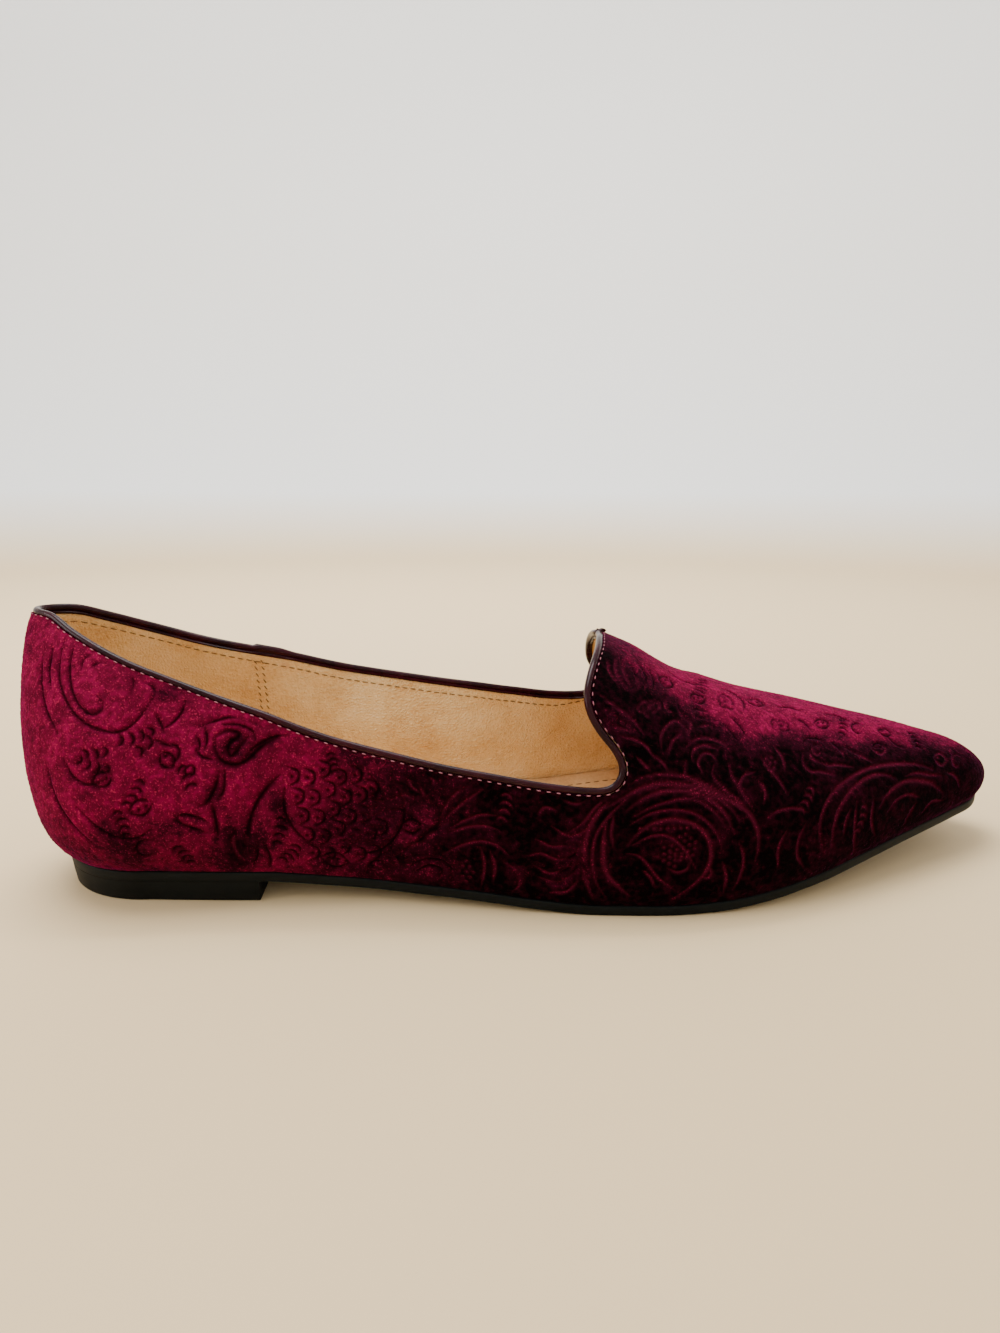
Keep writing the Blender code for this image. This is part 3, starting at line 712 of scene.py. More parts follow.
def turn_out(item):
    """Faces of a closed piece turned outward."""
    shape = bmesh.new()
    shape.from_mesh(item.data)
    bmesh.ops.recalc_face_normals(shape, faces=shape.faces)
    if shape.calc_volume(signed=True) < 0:
        bmesh.ops.reverse_faces(shape, faces=shape.faces)
    shape.to_mesh(item.data)
    shape.free()
    return item


def outward(item, sharp=48):
    """Faces turned outward, with edges over the angle kept crisp."""
    turn_out(item).data.shade_smooth()
    item.data.set_sharp_from_angle(angle=math.radians(sharp))
    return item


def tree_of(points, indices):
    """A tree that finds the nearest of the indexed points."""
    tree = KDTree(len(indices))
    for k in indices:
        tree.insert(points[k], int(k))
    tree.balance()
    return tree


def settle(item, slot, *nodes):
    """Joins a piece to the shoe's one body and hides the solids it stands for; the slot is not used."""
    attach(item, "root")
    if nodes:
        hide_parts(*nodes)
    print(item.name, len(item.data.vertices), "points,", len(item.data.polygons), "faces")
    return item


# %% [markdown]
# The velvet is embossed with scrolls, leaves and a large drop filled with
# dots, the traditional ornament of this cloth. A heated roller presses lines
# into the pile. The drawing is charted in millimetres on the flat cloth: how
# far along the shoe and how far up from the sole. It is made of a few strokes
# only: freehand lines through a few places, arcs that may wind in, and dots.
# Each stroke is stamped into a height field, and every point of the skin reads
# its depth there.

# %% The embossing chart
CHART_LOW, CHART_WIDE, CHART_HIGH = -16.0, 272.0, 84.0
CHART_STEP = 0.16
LINE_WIDTH = 0.30
TAPER, LEAF_FAT, LEAN, PETALS = 0.25, 0.32, 0.28, 6


class Chart:
    """A flat field of pressed lines, in millimetres."""

    def __init__(self):
        self.field = np.zeros((round(CHART_HIGH / CHART_STEP), round(CHART_WIDE / CHART_STEP)))

    def stamp(self, x, y, width=LINE_WIDTH, depth=1.0):
        """One soft dot of the given half width."""
        reach = int(2.6 * width / CHART_STEP) + 1
        cx = (x - CHART_LOW) / CHART_STEP
        cy = y / CHART_STEP
        i, j = int(round(cx)), int(round(cy))
        high, wide = self.field.shape
        if not (reach < i < wide - reach - 1 and reach < j < high - reach - 1):
            return
        gx = (np.arange(i - reach, i + reach + 1) - cx) * CHART_STEP
        gy = (np.arange(j - reach, j + reach + 1) - cy) * CHART_STEP
        dot = depth * np.exp(-(gx[None, :] ** 2 + gy[:, None] ** 2) / (2 * width * width))
        part = self.field[j - reach:j + reach + 1, i - reach:i + reach + 1]
        np.maximum(part, dot, out=part)

    def stroke(self, xs, ys, width=LINE_WIDTH, depth=1.0):
        """A line through points, thinner towards its ends."""
        run = np.concatenate([[0], np.cumsum(np.hypot(np.diff(xs), np.diff(ys)))])
        count = max(int(run[-1] / (0.45 * width)), 2)
        at = np.linspace(0, run[-1], count)
        for k, (x, y) in enumerate(zip(np.interp(at, run, xs), np.interp(at, run, ys))):
            end = min(min(k, count - 1 - k) / count / TAPER, 1.0)
            self.stamp(x, y, width * (0.55 + 0.45 * end), depth * (0.6 + 0.4 * end))

    def arc(self, x, y, radius, start, end, radius_end=None, **look):
        """An arc or a winding scroll; angles in degrees."""
        radius_end = radius if radius_end is None else radius_end
        count = max(int(abs(end - start) / 6), 3)
        angle = np.radians(np.linspace(start, end, count))
        r = np.linspace(radius, radius_end, count)
        self.stroke(x + r * np.cos(angle), y + r * np.sin(angle), **look)

    def leaf(self, x, y, length, turn, veins=0):
        """A pointed leaf: two bowed edges and short veins."""
        t = np.linspace(0, 1, 14)
        for side in (-1, 1):
            self.bowed(x, y, length, turn, side * LEAF_FAT * length, t)
        for k in range(veins):
            base = 0.22 + 0.6 * k / max(veins - 1, 1)
            self.bowed(x + math.cos(math.radians(turn)) * length * base,
                       y + math.sin(math.radians(turn)) * length * base,
                       LEAF_FAT * length * 0.55, turn + 35, 0.0, t)

    def draw(self, *places, **look):
        """A freehand line: a smooth curve through a few places."""
        run = sum(math.dist(a, b) for a, b in zip(places, places[1:]))
        path = curve_through(places, max(int(run / 0.3), 6))
        self.stroke(path[:, 0], path[:, 1], **look)

    def bowed(self, x, y, length, turn, bow, t):
        """A stroke from a point, bowed to one side."""
        px, py = t * length, np.sin(t * math.pi) * bow
        c, s = math.cos(math.radians(turn)), math.sin(math.radians(turn))
        self.stroke(x + c * px - s * py, y + s * px + c * py)

    def flower(self, x, y, radius, turn=0.0):
        """A worn rosette: hooked petals of uneven length round a dot."""
        for k in range(PETALS):
            angle = turn + k * 360 / PETALS + 14 * math.sin(2.3 * k + turn)
            size = radius * (0.78 + 0.24 * math.sin(1.7 * k + turn))
            a = math.radians(angle)
            self.arc(x + 0.55 * size * math.cos(a), y + 0.55 * size * math.sin(a), 0.42 * size,
                     angle - 110, angle + 70 + 30 * math.sin(k), depth=0.8)
        self.stamp(x, y, 0.5, 0.9)

    def feather(self, x, y, length, turn, strokes, gap):
        """Short bowed strokes set side by side along a line."""
        t = np.linspace(0, 1, 9)
        across = math.radians(turn + 90)
        for k in range(strokes):
            share = k / (strokes - 1)
            self.bowed(x + math.cos(across) * gap * k, y + math.sin(across) * gap * k,
                       length * (1 - 0.5 * abs(share - 0.4)), turn + LEAN * 60 * (share - 0.5),
                       LEAN * length, t)

    def seeds(self, x, y, wide, high, turn, pitch, size):
        """Dots in rows that fill an ellipse."""
        c, s = math.cos(math.radians(turn)), math.sin(math.radians(turn))
        rows = int(high / pitch / 0.87)
        for r in range(-rows, rows + 1):
            for q in range(-int(wide / pitch) - 1, int(wide / pitch) + 2):
                px, py = (q + 0.5 * (r % 2)) * pitch, r * pitch * 0.87
                if (px / wide) ** 2 + (py / high) ** 2 < 1:
                    self.stamp(x + c * px - s * py, y + s * px + c * py, size)


def draw_heel(c):
    """The winding scroll over the heel, small sprigs below it, and a round flower."""
    c.draw((15.4, 56.5), (15.3, 52), (16, 47.5), (18, 43.5), (21, 40), (25, 37.5), (30, 36.5), (34, 39),
           (37.3, 44))
    c.draw((18.4, 55.5), (18.2, 51), (19.4, 46), (21.6, 42.3), (24.5, 40.3), (26.6, 41.2), (26.6, 43.2),
           (25.4, 44.4))
    c.draw((21.3, 50), (21.5, 52.5), (23.8, 54.6), (27.5, 53.2), (31, 50.5), (32.8, 47.5), (32.2, 45))
    c.draw((23.6, 50.8), (25.6, 52.4), (28.2, 51))
    c.draw((43.8, 42.8), (43.2, 40), (41.5, 37.8), (39.4, 36.4))
    c.draw((38.0, 39.6), (39.0, 37.4), (39.8, 35.6))
    c.draw((34.5, 47.5), (36.5, 46.5), (37.5, 44.8))
    c.draw((9.5, 52), (10.5, 46), (13, 40), (17, 35.5))
    c.draw((12.4, 54), (12.6, 49), (14, 44.5))
    c.feather(30.3, 36.0, 3.2, 280, 4, 2.0)
    c.feather(27.2, 33.5, 3.0, 285, 3, -2.2)
    c.draw((35.9, 35.6), (37.2, 33.8), (36.4, 32.2))
    c.draw((33.8, 33.2), (35.2, 32.2), (34.6, 30.4))
    c.draw((37.4, 34.6), (40, 33), (42.4, 32.4), (42.8, 30.4), (41.2, 27.8))
    c.leaf(39.0, 31.4, 4.6, 305, veins=2)
    c.leaf(29.0, 27.5, 5.0, 215, veins=2)
    c.feather(22.5, 31.5, 3.2, 250, 4, 1.9)
    c.draw((18.5, 30), (20.5, 26.5), (24, 24.8), (27.5, 26))
    c.feather(33.5, 25.6, 3.0, 330, 4, -1.9)
    c.feather(44.0, 22.6, 3.6, 20, 3, 2.0)
    c.draw((41.4, 16.6), (43.6, 17), (46.4, 16), (48.6, 14.6))
    c.draw((41.2, 17.6), (42.6, 15), (45.6, 13.4), (48, 12.2))
    c.leaf(37.0, 20.5, 5.6, 200, veins=3)
    c.feather(28.5, 18.0, 3.0, 15, 4, -1.9)
    c.draw((21, 19.5), (24, 16), (28.5, 13), (33, 12.5), (36.5, 14.5))
    c.draw((13.5, 27), (15, 21), (18.5, 15.5), (23, 11))
    c.arc(34.5, 9.0, 3.0, 60, 330, 1.2)
    c.feather(40.0, 8.0, 3.4, 25, 4, -1.8)
    # the round flower, with its rings of bowed petals
    c.draw((46.4, 36.2), (50, 37.2), (54.2, 38), (57.8, 37.2), (61, 35.6))
    c.draw((65.6, 33.8), (63.2, 33), (60.4, 31), (57.6, 28.4), (55.2, 27.4), (52.6, 28), (50.8, 30.2),
           (50.4, 33.6), width=0.5)
    c.draw((50.6, 33.8), (53.4, 35), (55.8, 34), (53.4, 31.6), (54.2, 29.4), (57.8, 33.6), width=0.5)
    c.draw((52.2, 36.4), (55.6, 36.2), (58.6, 34.8), (59.4, 32.6))
    c.draw((46.2, 31.8), (47.6, 29.8), (50.4, 28.6))
    c.draw((46.4, 34.6), (47.2, 32.6), (46.8, 30.4))
    c.draw((48.4, 36), (48.8, 33.4), (48.4, 31.4))
    c.arc(54.6, 31.8, 1.5, 0, 330, 0.8)
    # two stems that drop towards the waist
    c.draw((51.4, 26), (50.3, 22.5), (48.5, 19.4), (46.8, 18.6), width=0.5)
    c.draw((49.5, 19.4), (50.1, 14.6), (50.2, 10.6), width=0.5)
    c.draw((52.6, 26.4), (52.2, 22), (50.8, 19.6))
    c.draw((64.6, 25.2), (61.6, 22), (59.2, 18.6), (57.6, 15), (56.8, 11.4), (56.2, 8.4), width=0.5)
    c.draw((60.2, 8.8), (61, 4.2), (60.4, 1.4))
    c.draw((58.6, 8.2), (58.2, 5), (57, 2.6))
    c.draw((54.2, 13), (53.4, 9.4), (54, 5.6), (55.8, 3.2))
    c.feather(63.0, 14.5, 3.2, 350, 4, -2.1)
    c.leaf(45.6, 28.2, 3.2, 250)


def draw_waist(c):
    """A cone of scales, a leafy stem with long fronds, and a curled bud."""
    c.draw((56.5, 28.4), (59, 31), (63, 33.4), (67.5, 34.2), (71.5, 32.8))
    for k, (x, high) in enumerate(((67.5, 27), (71, 28.5), (74.5, 29), (78, 29), (81.5, 28.2), (85, 27))):
        for r in range(5):
            top = high - 4.6 * r - 1.6 * (k % 2)
            c.draw((x + 0.9 * r - 1.2, top), (x + 0.9 * r + 1.0, top - 0.9), (x + 0.9 * r + 0.9, top - 3.0),
                   (x + 0.9 * r - 0.9, top - 4.2))
            c.stamp(x + 0.9 * r - 0.4, top - 2.2, 0.36)
    c.draw((65.4, 22.5), (65.2, 17), (67.6, 11.6), (72.4, 7.6))
    c.draw((89.6, 25.5), (92.0, 20.5), (91.0, 14.5), (87.2, 9.2), (80.5, 6.2))
    c.draw((84.6, 26.4), (86.4, 23.6), (85.6, 20.8), (87.2, 18.2))
    c.feather(66.0, 8.4, 3.6, 320, 4, -1.8)
    c.leaf(72.5, 5.4, 6.5, 350, veins=3)
    c.feather(74.5, 31.2, 2.6, 15, 5, -1.4)
    c.leaf(83.0, 3.0, 5.0, 20, veins=2)
    c.draw((94.6, 10), (97, 12.4), (99, 15), (100.4, 18.4), width=0.5)
    c.draw((90.2, 8.2), (94.6, 11), (98.2, 14.6), (101.6, 16.6), width=0.5)
    c.draw((89.4, 21), (91.6, 22.2), (93.8, 21.6))
    c.draw((88.8, 18.4), (91.4, 18.6), (93.4, 17.2), (94.6, 15.2))
    c.leaf(91.0, 14.6, 5.0, 10, veins=2)
    c.draw((100.2, 18.2), (102, 21.8), (104, 24.2), (106.2, 25.6))
    c.draw((100.6, 16.8), (103.4, 20), (106.4, 22.8), (109.4, 25.4))
    c.draw((102.4, 15.6), (106, 17.8), (109, 19.2), (112.4, 19.6))
    c.draw((101.8, 14.2), (105.4, 15.8), (109.4, 16.6), (113, 16.2))
    c.draw((100.4, 8.8), (104.4, 11.4), (108.8, 13), (112.6, 12.4), (115, 10.6))
    c.draw((95.6, 24.8), (96.6, 22), (98.4, 20.2))
    c.draw((92.8, 26.6), (93.6, 24.6), (95.4, 23.2))
    c.feather(97.6, 27.0, 2.4, 300, 5, 1.6)
    c.draw((93, 5), (96, 7), (99.6, 7.4), (102, 5.8), (102.6, 3.2), (101.8, 1.2))
    c.draw((94.4, 3.8), (97.2, 5.6), (99.8, 5), (100.4, 2.6))
    c.draw((89.8, 5), (87.8, 3.6), (86.4, 1.2))
    c.draw((108.8, 11.8), (109.7, 7.4), (109.1, 1.8))
    c.draw((111, 11), (112, 7.2), (111.6, 3))
    c.seeds(105.6, 5.0, 2.4, 3.6, 0, 1.6, 0.34)
    c.feather(113.4, 24.4, 3.0, 350, 4, -2.0)
    c.draw((114.2, 8.6), (117, 6.6), (117.6, 3.4), (116.2, 1.4))


def draw_ball(c):
    """Fronds that sweep into the large drop, and the drop with arches over it."""
    c.draw((121.4, 21.2), (123, 22.8), (125.4, 22.4))
    c.draw((124.2, 18.8), (128, 16.8), (131.4, 18), (134.4, 21.2))
    c.draw((119.2, 11), (122.2, 11.8), (125.8, 10.8), (128.8, 11.8), (131.4, 15))
    c.draw((120.6, 8.8), (124.2, 7.2), (127.8, 8.6), (129.2, 11))
    c.draw((121.8, 6), (125.8, 5), (128.8, 7.2), (130.6, 11.4))
    c.draw((124.4, 2.4), (128, 3), (130.4, 6))
    c.draw((121.0, 15.2), (124.4, 13.8), (127.8, 14.4))
    c.draw((126.2, 25.4), (129.4, 24.2), (131.6, 25.2))
    c.draw((140, 27.2), (136.6, 24.8), (133.4, 20.8), (131.8, 16), (131.6, 11.4), (132.2, 6.4),
           (134, 1.6), width=0.46)
    c.draw((138.8, 27.8), (134.2, 24), (131.2, 20), (128.4, 17.8))
    c.draw((142, 26.6), (137.6, 22.6), (134.2, 17.6), (133.4, 12), (134.2, 6.6), (136.6, 2.4))
    c.draw((136.4, 21), (135.8, 16.6), (135.8, 11.6), (136.8, 8), (139.4, 5), (142.2, 2.6), width=0.46)
    c.draw((138, 22.2), (137.4, 18), (138, 14.6))
    c.draw((136.2, 23.6), (140, 25.9), (145, 28.2), (150.6, 28.9), (155.8, 28), (160.8, 25.5),
           (164.4, 22.6), (166.6, 19.2), width=0.46)
    c.draw((140.7, 23), (145, 25.9), (150, 27.3), (155, 26.9), (159.4, 25), (163, 21.6), (165.2, 16.6),
           width=0.46)
    c.draw((142, 21.6), (146.4, 23.8), (150.7, 25), (155, 25.4), (158.8, 23.6), (161.6, 20.8),
           (163.6, 17.6))
    c.draw((141.4, 19.8), (145.8, 22.2), (150.7, 23.1), (155.2, 22.3), (158.8, 20), (161.4, 16.4),
           (162.6, 12.4))
    c.draw((140.8, 28.4), (145, 30.4), (150.7, 30.9), (155.8, 29.8), (160.8, 27.2), (164.4, 25))
    c.draw((141, 15), (143, 17.6), (146.4, 20), (150.7, 20.9), (155, 20), (158, 17.8), (159.6, 14.8),
           (159.8, 11), (158.4, 7.4), (155.2, 4.4), (151.6, 1.8), width=0.46)
    c.draw((142.2, 15.2), (145.8, 17.1), (149.3, 17.4), (152.2, 15.6), (154.4, 13), (156.4, 9.4))
    c.draw((140.8, 13.2), (143.6, 12.6), (145.6, 10.6), (148.2, 7.2), (151.6, 4.6))
    c.draw((144.6, 9.2), (146.4, 7.4), (147.4, 5))
    c.draw((150, 9.8), (152.2, 8.6), (154.4, 9.2), (155, 11))
    c.draw((157.9, 7.4), (159.4, 6.6), (160.2, 8), (159, 10.2))
    c.draw((162.6, 10.4), (163.8, 6.4), (163.4, 2.6))
    c.seeds(149.8, 19.0, 6.6, 1.2, 0, 1.5, 0.36)
    c.seeds(153.4, 14.6, 4.0, 3.2, 320, 1.5, 0.36)
    c.seeds(150.4, 12.4, 3.0, 2.2, 330, 1.5, 0.36)
    c.draw((155, 33.8), (154.4, 30.9), (156.4, 29.1), (160.7, 26.6), (165, 23.7), (168.7, 20.8),
           (170.8, 16.6), (171.2, 12.3), (170.5, 9.2), width=0.46)
    c.draw((161.8, 32.4), (161.1, 30.1), (163, 27.2), (166.4, 23.8), (169.4, 20))
    c.draw((165.4, 32.3), (165.8, 29.4), (168, 25), (170.2, 20.8))
    c.draw((166.2, 14.8), (167.6, 10.6), (167.2, 6.2), (165.6, 3))


def draw_tab(c):
    """Leaves and flowers that rise to the tab and cross the instep."""
    c.draw((155, 36.4), (157.8, 38.4), (161.4, 39.1), (165, 37.4), (166.6, 34.8))
    c.draw((158.7, 30.8), (157.9, 33), (159.6, 35.1), (161.6, 35), (162.6, 33.4))
    c.draw((156.4, 33.6), (157.4, 36.2), (160.6, 37.2), (163.6, 36))
    c.draw((135.8, 49.2), (140, 46), (143.6, 43), (145.6, 39.8))
    c.draw((135, 43.8), (138.8, 41.6), (143.6, 40.4))
    c.seeds(139.6, 43.6, 3.8, 1.3, 325, 1.5, 0.36)
    c.draw((139.8, 39.4), (143.6, 38.6), (146, 37), (147.4, 34.4))
    c.draw((143.4, 34.8), (146.4, 31.8))
    c.draw((147.2, 35.4), (149.4, 33.4), (150.4, 31.6))
    c.draw((149.2, 36.4), (150, 40.2), (153.6, 43.4), (156, 42.2), (156.6, 39.8))
    c.draw((150.8, 35.4), (152.4, 38.4), (155, 40.2))
    c.draw((142.2, 61), (141.3, 55.4), (143.3, 51))
    c.draw((143.8, 61.6), (143.4, 56), (144.6, 51.2))
    c.draw((139.6, 59.4), (139.6, 55.2), (141.4, 52))
    c.draw((145.6, 60.8), (146.4, 56.4), (146.2, 51.4))
    c.draw((148.2, 61), (149.2, 56), (147.8, 51.2))
    c.draw((150.4, 60), (151.2, 55.6), (150, 51.6))
    c.draw((156.4, 50.4), (156, 45.4), (158, 43), (156.6, 39.6))
    c.draw((153, 50.2), (152.2, 47), (153.8, 44.8))
    c.draw((159.4, 47), (162.2, 47.6), (165, 46.6))
    c.draw((159.6, 44.4), (162.8, 45), (165.4, 43.8))
    c.draw((159.8, 42), (163, 42.6), (165.8, 41.2))
    c.flower(148.0, 46.6, 3.0, 15)
    c.leaf(153.4, 53.0, 6.0, 62, veins=3)
    c.draw((167, 42.6), (168.4, 39.8), (169.6, 37))
    c.draw((169.6, 44.6), (171.6, 41.6), (172.4, 38.2))
    c.leaf(160.5, 50.5, 5.6, 25, veins=3)
    c.flower(170.4, 50.4, 3.4)
    c.feather(163.5, 55.6, 3.6, 330, 5, 1.8)
    c.draw((157.4, 61.4), (160.4, 59), (164.6, 58.6), (168.6, 60.4))
    c.draw((172.4, 57.4), (175.6, 54.4), (176.6, 50.4), (174.8, 46.6))
    c.leaf(178.0, 52.0, 6.0, 330, veins=3)


def draw_toe(c):
    """Flowers over the vamp, and arches that run out along the toe."""
    c.draw((167.8, 25.2), (167.5, 27.4), (169.3, 29.2), (172, 29.2))
    c.draw((174.3, 32.4), (175.8, 29.4), (177.9, 25.8), (179.4, 22.2))
    c.draw((172.0, 27.6), (173.6, 24.6), (172.8, 21.8))
    c.draw((178.8, 34.6), (180.2, 31), (179.8, 27.6))
    c.seeds(176.4, 30.6, 2.4, 2.2, 0, 1.5, 0.36)
    c.draw((173.4, 18.4), (176.4, 19.4), (180.6, 19), (184.4, 17))
    c.draw((186.4, 31), (185.6, 28), (187.3, 25.8), (190, 25), (193.8, 22.8))
    c.draw((190, 27.4), (192.8, 25.8), (195.8, 25), (200, 23))
    c.draw((188.8, 31), (188.6, 28.8), (190.4, 27.2))
    c.draw((187.4, 33.2), (190.2, 34.4), (193.4, 33), (194.6, 30))
    c.arc(191.0, 30.4, 1.8, 20, 340, 0.9)
    c.draw((199.2, 29.6), (201.3, 27.2), (203.6, 25), (206.6, 22.2))
    c.draw((196.4, 31.4), (198, 28.8), (198.2, 26))
    c.draw((183.6, 14.8), (181.6, 11.2), (181.8, 7.2), (183.8, 4))
    c.draw((178.4, 14.6), (176.4, 11), (176.6, 6.4))
    c.feather(184.8, 22.4, 3.2, 320, 4, -1.8)
    c.draw((188.8, 6.4), (187.6, 10.8), (187.9, 14.4), (190, 17.6), (193.4, 19.8), (198.4, 20.9),
           (203.4, 21.2), (209.1, 20.5), (216.3, 18.7), (222, 16.6), (226.6, 13.9), width=0.46)
    c.draw((191.4, 6.6), (191.6, 10.9), (193.4, 14.8), (197, 17.6), (201.3, 18.9), (205.6, 19.1),
           (209.5, 18), (212.4, 16.2), width=0.46)
    c.draw((199, 15.2), (198.3, 10.9), (198.6, 5.9), (199.2, 1.6))
    c.draw((204.5, 13.8), (203.7, 9.6), (204.2, 7), (205.6, 4))
    c.draw((206.2, 10.8), (209.1, 13), (212.8, 14.1), (217, 14), (221.3, 12.6), (225, 10.8), (229.2, 7.2),
           width=0.46)
    c.draw((216.3, 15.4), (220.6, 14.9), (225, 13), (229.4, 11.4))
    c.draw((215.8, 2.8), (217, 5.2), (219.3, 7.8))
    c.draw((194.8, 8), (195.4, 11.6), (197, 14))
    c.feather(200.4, 12.8, 2.4, 340, 4, -1.9)
    c.draw((209.2, 8.8), (212, 10.6), (216.2, 10.8), (220.4, 8.8))
    c.draw((221.6, 3.6), (225.2, 5.8), (229.8, 4.8))
    c.draw((216.4, 28.2), (217.5, 24.4), (219.6, 22))
    c.leaf(208.5, 25.6, 5.4, 345, veins=3)
    c.flower(184.0, 40.0, 3.4, 10)
    c.draw((189.2, 42), (191.6, 39.4), (192.2, 36.2))
    c.leaf(194.4, 38.6, 5.6, 345, veins=3)
    c.draw((186.8, 47.4), (190.4, 46.8), (193.6, 44.4))
    c.feather(200.4, 33.4, 3.4, 320, 4, 1.8)
    c.arc(208.2, 32.6, 3.0, 20, 300, 1.1)
    c.leaf(214.6, 30.2, 5.0, 335, veins=2)
    c.draw((201, 41.6), (204.8, 39.8), (207.4, 36.6))
    c.feather(223.4, 21.2, 3.0, 340, 4, 1.7)
    c.leaf(228.4, 16.6, 5.2, 335, veins=2)
    c.draw((231.6, 11.6), (234.6, 9.6), (236, 6.4))
    c.arc(236.6, 12.8, 2.4, 30, 300, 1.0)


# Both sides of the shoe read the same chart: only the outer one is in the photo.
chart = Chart()
for draw_part in (draw_heel, draw_waist, draw_ball, draw_tab, draw_toe):
    draw_part(chart)
print("chart pressed over", round(float((chart.field > 0.3).mean()) * 100), "percent")


def read_chart(along, up):
    """Depth of the pressed line at places given in metres."""
    x = np.clip((along / MM - CHART_LOW) / CHART_STEP, 0, chart.field.shape[1] - 1.001)
    y = np.clip(up / MM / CHART_STEP, 0, chart.field.shape[0] - 1.001)
    return read_grid(chart.field, x, y)


# %% [markdown]
# Velvet changes with the lie of its pile: brushed towards the light it is
# bright, brushed away it is nearly black. Here that sheen and shade are
# painted into the colour, as a second value that the skin carries: painted
# bright round the heel and over the top of the vamp, painted in shade along
# the ball and low on the toe. One table says how far up the cloth is painted
# bright, a second one places crushed patches of pile, some painted darker and
# some brighter as sheen and shade. Fine mottling comes from a few seeded waves,
# so each run gives the same shoe. The creases are placed one by one: two
# troughs and a ridge where the vamp will bend, a hollow and a ridge under the
# collar, and soft swells along the sole, none over 0.34 millimetres.

# %% Relief and painted sheen and shade of the velvet
PRESS_DEPTH = 0.30 * MM
PUFF_HEIGHT = 0.16 * MM
PILE_RIPPLE = 0.045 * MM
TURN_IN = 0.9 * MM


def patches(points, size, seed):
    """Smooth seeded mottling between -1 and 1, with cells of about size."""
    rng = np.random.default_rng(seed)
    total = np.zeros(len(points))
    for _ in range(14):
        direction = rng.normal(size=3)
        direction *= 2 * math.pi / (size * rng.uniform(0.7, 1.6)) / np.linalg.norm(direction)
        total += np.sin(points @ direction + rng.uniform(0, 2 * math.pi))
    return np.clip(total / math.sqrt(14), -1.6, 1.6) / 1.6


# Painted sheen: how far up the cloth is painted bright, by station. Then crushed patches of pile, some
# painted darker and some brighter as sheen and shade: along, up, half width, half height and gain.
SHEEN_LINE = ((118.0, 74.0), (134.0, 63.0), (150.0, 52.0), (160.0, 45.0), (170.0, 37.0), (180.0, 33.0),
            (192.0, 31.0), (202.0, 27.0), (215.0, 23.0), (230.0, 19.0), (246.0, 11.0))
CRUSHED_SHEEN_PATCHES = ((54.5, 8.0, 3.5, 8.0, -0.55), (50.0, 21.0, 2.0, 3.5, -0.45), (40.0, 44.5, 4.0, 2.0, -0.45),
           (64.0, 19.0, 2.5, 4.0, -0.35), (30.0, 12.0, 7.0, 6.0, -0.25), (54.0, 31.5, 4.0, 4.0, -0.35),
           (66.0, 5.5, 4.0, 4.0, 0.25), (68.0, 27.0, 7.0, 6.0, 0.15), (93.0, 13.5, 3.5, 4.0, 0.35),
           (98.0, 16.0, 3.0, 3.0, 0.35), (97.0, 5.5, 5.0, 3.0, 0.40), (79.0, 6.0, 3.5, 2.0, 0.35),
           (103.0, 22.0, 5.0, 4.0, 0.20), (128.0, 9.0, 3.0, 4.0, 0.40), (126.0, 5.0, 4.0, 3.0, 0.20),
           (141.0, 43.5, 4.5, 3.5, 0.30), (156.5, 45.0, 2.0, 7.0, 0.35), (163.0, 52.0, 6.0, 6.0, -0.15),
           (151.0, 17.0, 6.0, 4.0, 0.12), (183.0, 35.0, 6.0, 3.0, -0.25), (203.0, 38.0, 3.0, 6.0, -0.15),
           (174.0, 46.0, 7.0, 8.0, 0.10), (132.0, 14.0, 5.0, 7.0, 0.12))


def sheen_shade_of(face):
    """Painted sheen and shade of the pile, from 0, painted in shade, to 1, painted bright."""
    along, up = face.along / MM, face.up / MM
    # Painted bright round the heel and over the top of the vamp; painted shade low on the heel, along the
    # ball and low on the toe.
    heel = 1 - ease(along, 48.0, 118.0)
    low_heel = 0.72 + 0.28 * ease(up, 4.0, 22.0)
    line = smooth(SHEEN_LINE, along)
    top = ease(up, line - 5.0, line + 9.0) * ease(along, 128.0, 160.0)
    total = np.maximum(heel * low_heel, top)
    for x, y, wide, high, gain in CRUSHED_SHEEN_PATCHES:
        total += gain * np.exp(-((along - x) / wide) ** 2 - ((up - y) / high) ** 2)
    total += 0.16 * patches(face.points, 9 * MM, 3) + 0.12 * patches(face.points, 3.4 * MM, 5)
    return np.clip(total, 0.0, 1.0)


def edge_fade(face):
    """0 at the sole and at the rim, 1 further than two millimetres away."""
    fade = ease(face.up / MM, 0.3, 2.0)
    rim = tree_of(face.points, face.rim())
    nearest = np.array([rim.find(p)[2] for p in face.points])
    return fade * ease(nearest / MM, 0.5, 2.2)


CREASES = (
    (163.0, 47.0, 13.0, 78.0, 2.8, -0.34), (167.5, 44.0, 12.0, 76.0, 2.3, 0.22),
    (172.5, 40.0, 12.0, 74.0, 2.6, -0.28), (96.0, 19.0, 21.0, -7.0, 4.5, -0.34),
    (104.0, 12.5, 17.0, -4.0, 3.2, 0.20), (60.0, 20.0, 12.0, 62.0, 3.6, -0.22),
    (13.0, 30.0, 14.0, 84.0, 4.0, -0.22), (148.0, 3.6, 26.0, 0.0, 2.4, 0.22),
    (205.0, 30.0, 16.0, -24.0, 3.6, -0.24), (36.0, 7.0, 18.0, 3.0, 3.0, 0.18),
)


def crease_depth(face):
    """Soft troughs and ridges: along, up, half length, turn, half width and height in mm."""
    along, up = face.along / MM, face.up / MM
    total = np.zeros(len(along))
    for x, y, half, turn, wide, high in CREASES:
        c, s = math.cos(math.radians(turn)), math.sin(math.radians(turn))
        u = (along - x) * c + (up - y) * s
        v = (up - y) * c - (along - x) * s
        v = v + 0.05 * u * np.sin(u / half * 2.2)
        total += high * np.exp(-(v / wide) ** 2 - (u / half) ** 4)
    return total * MM


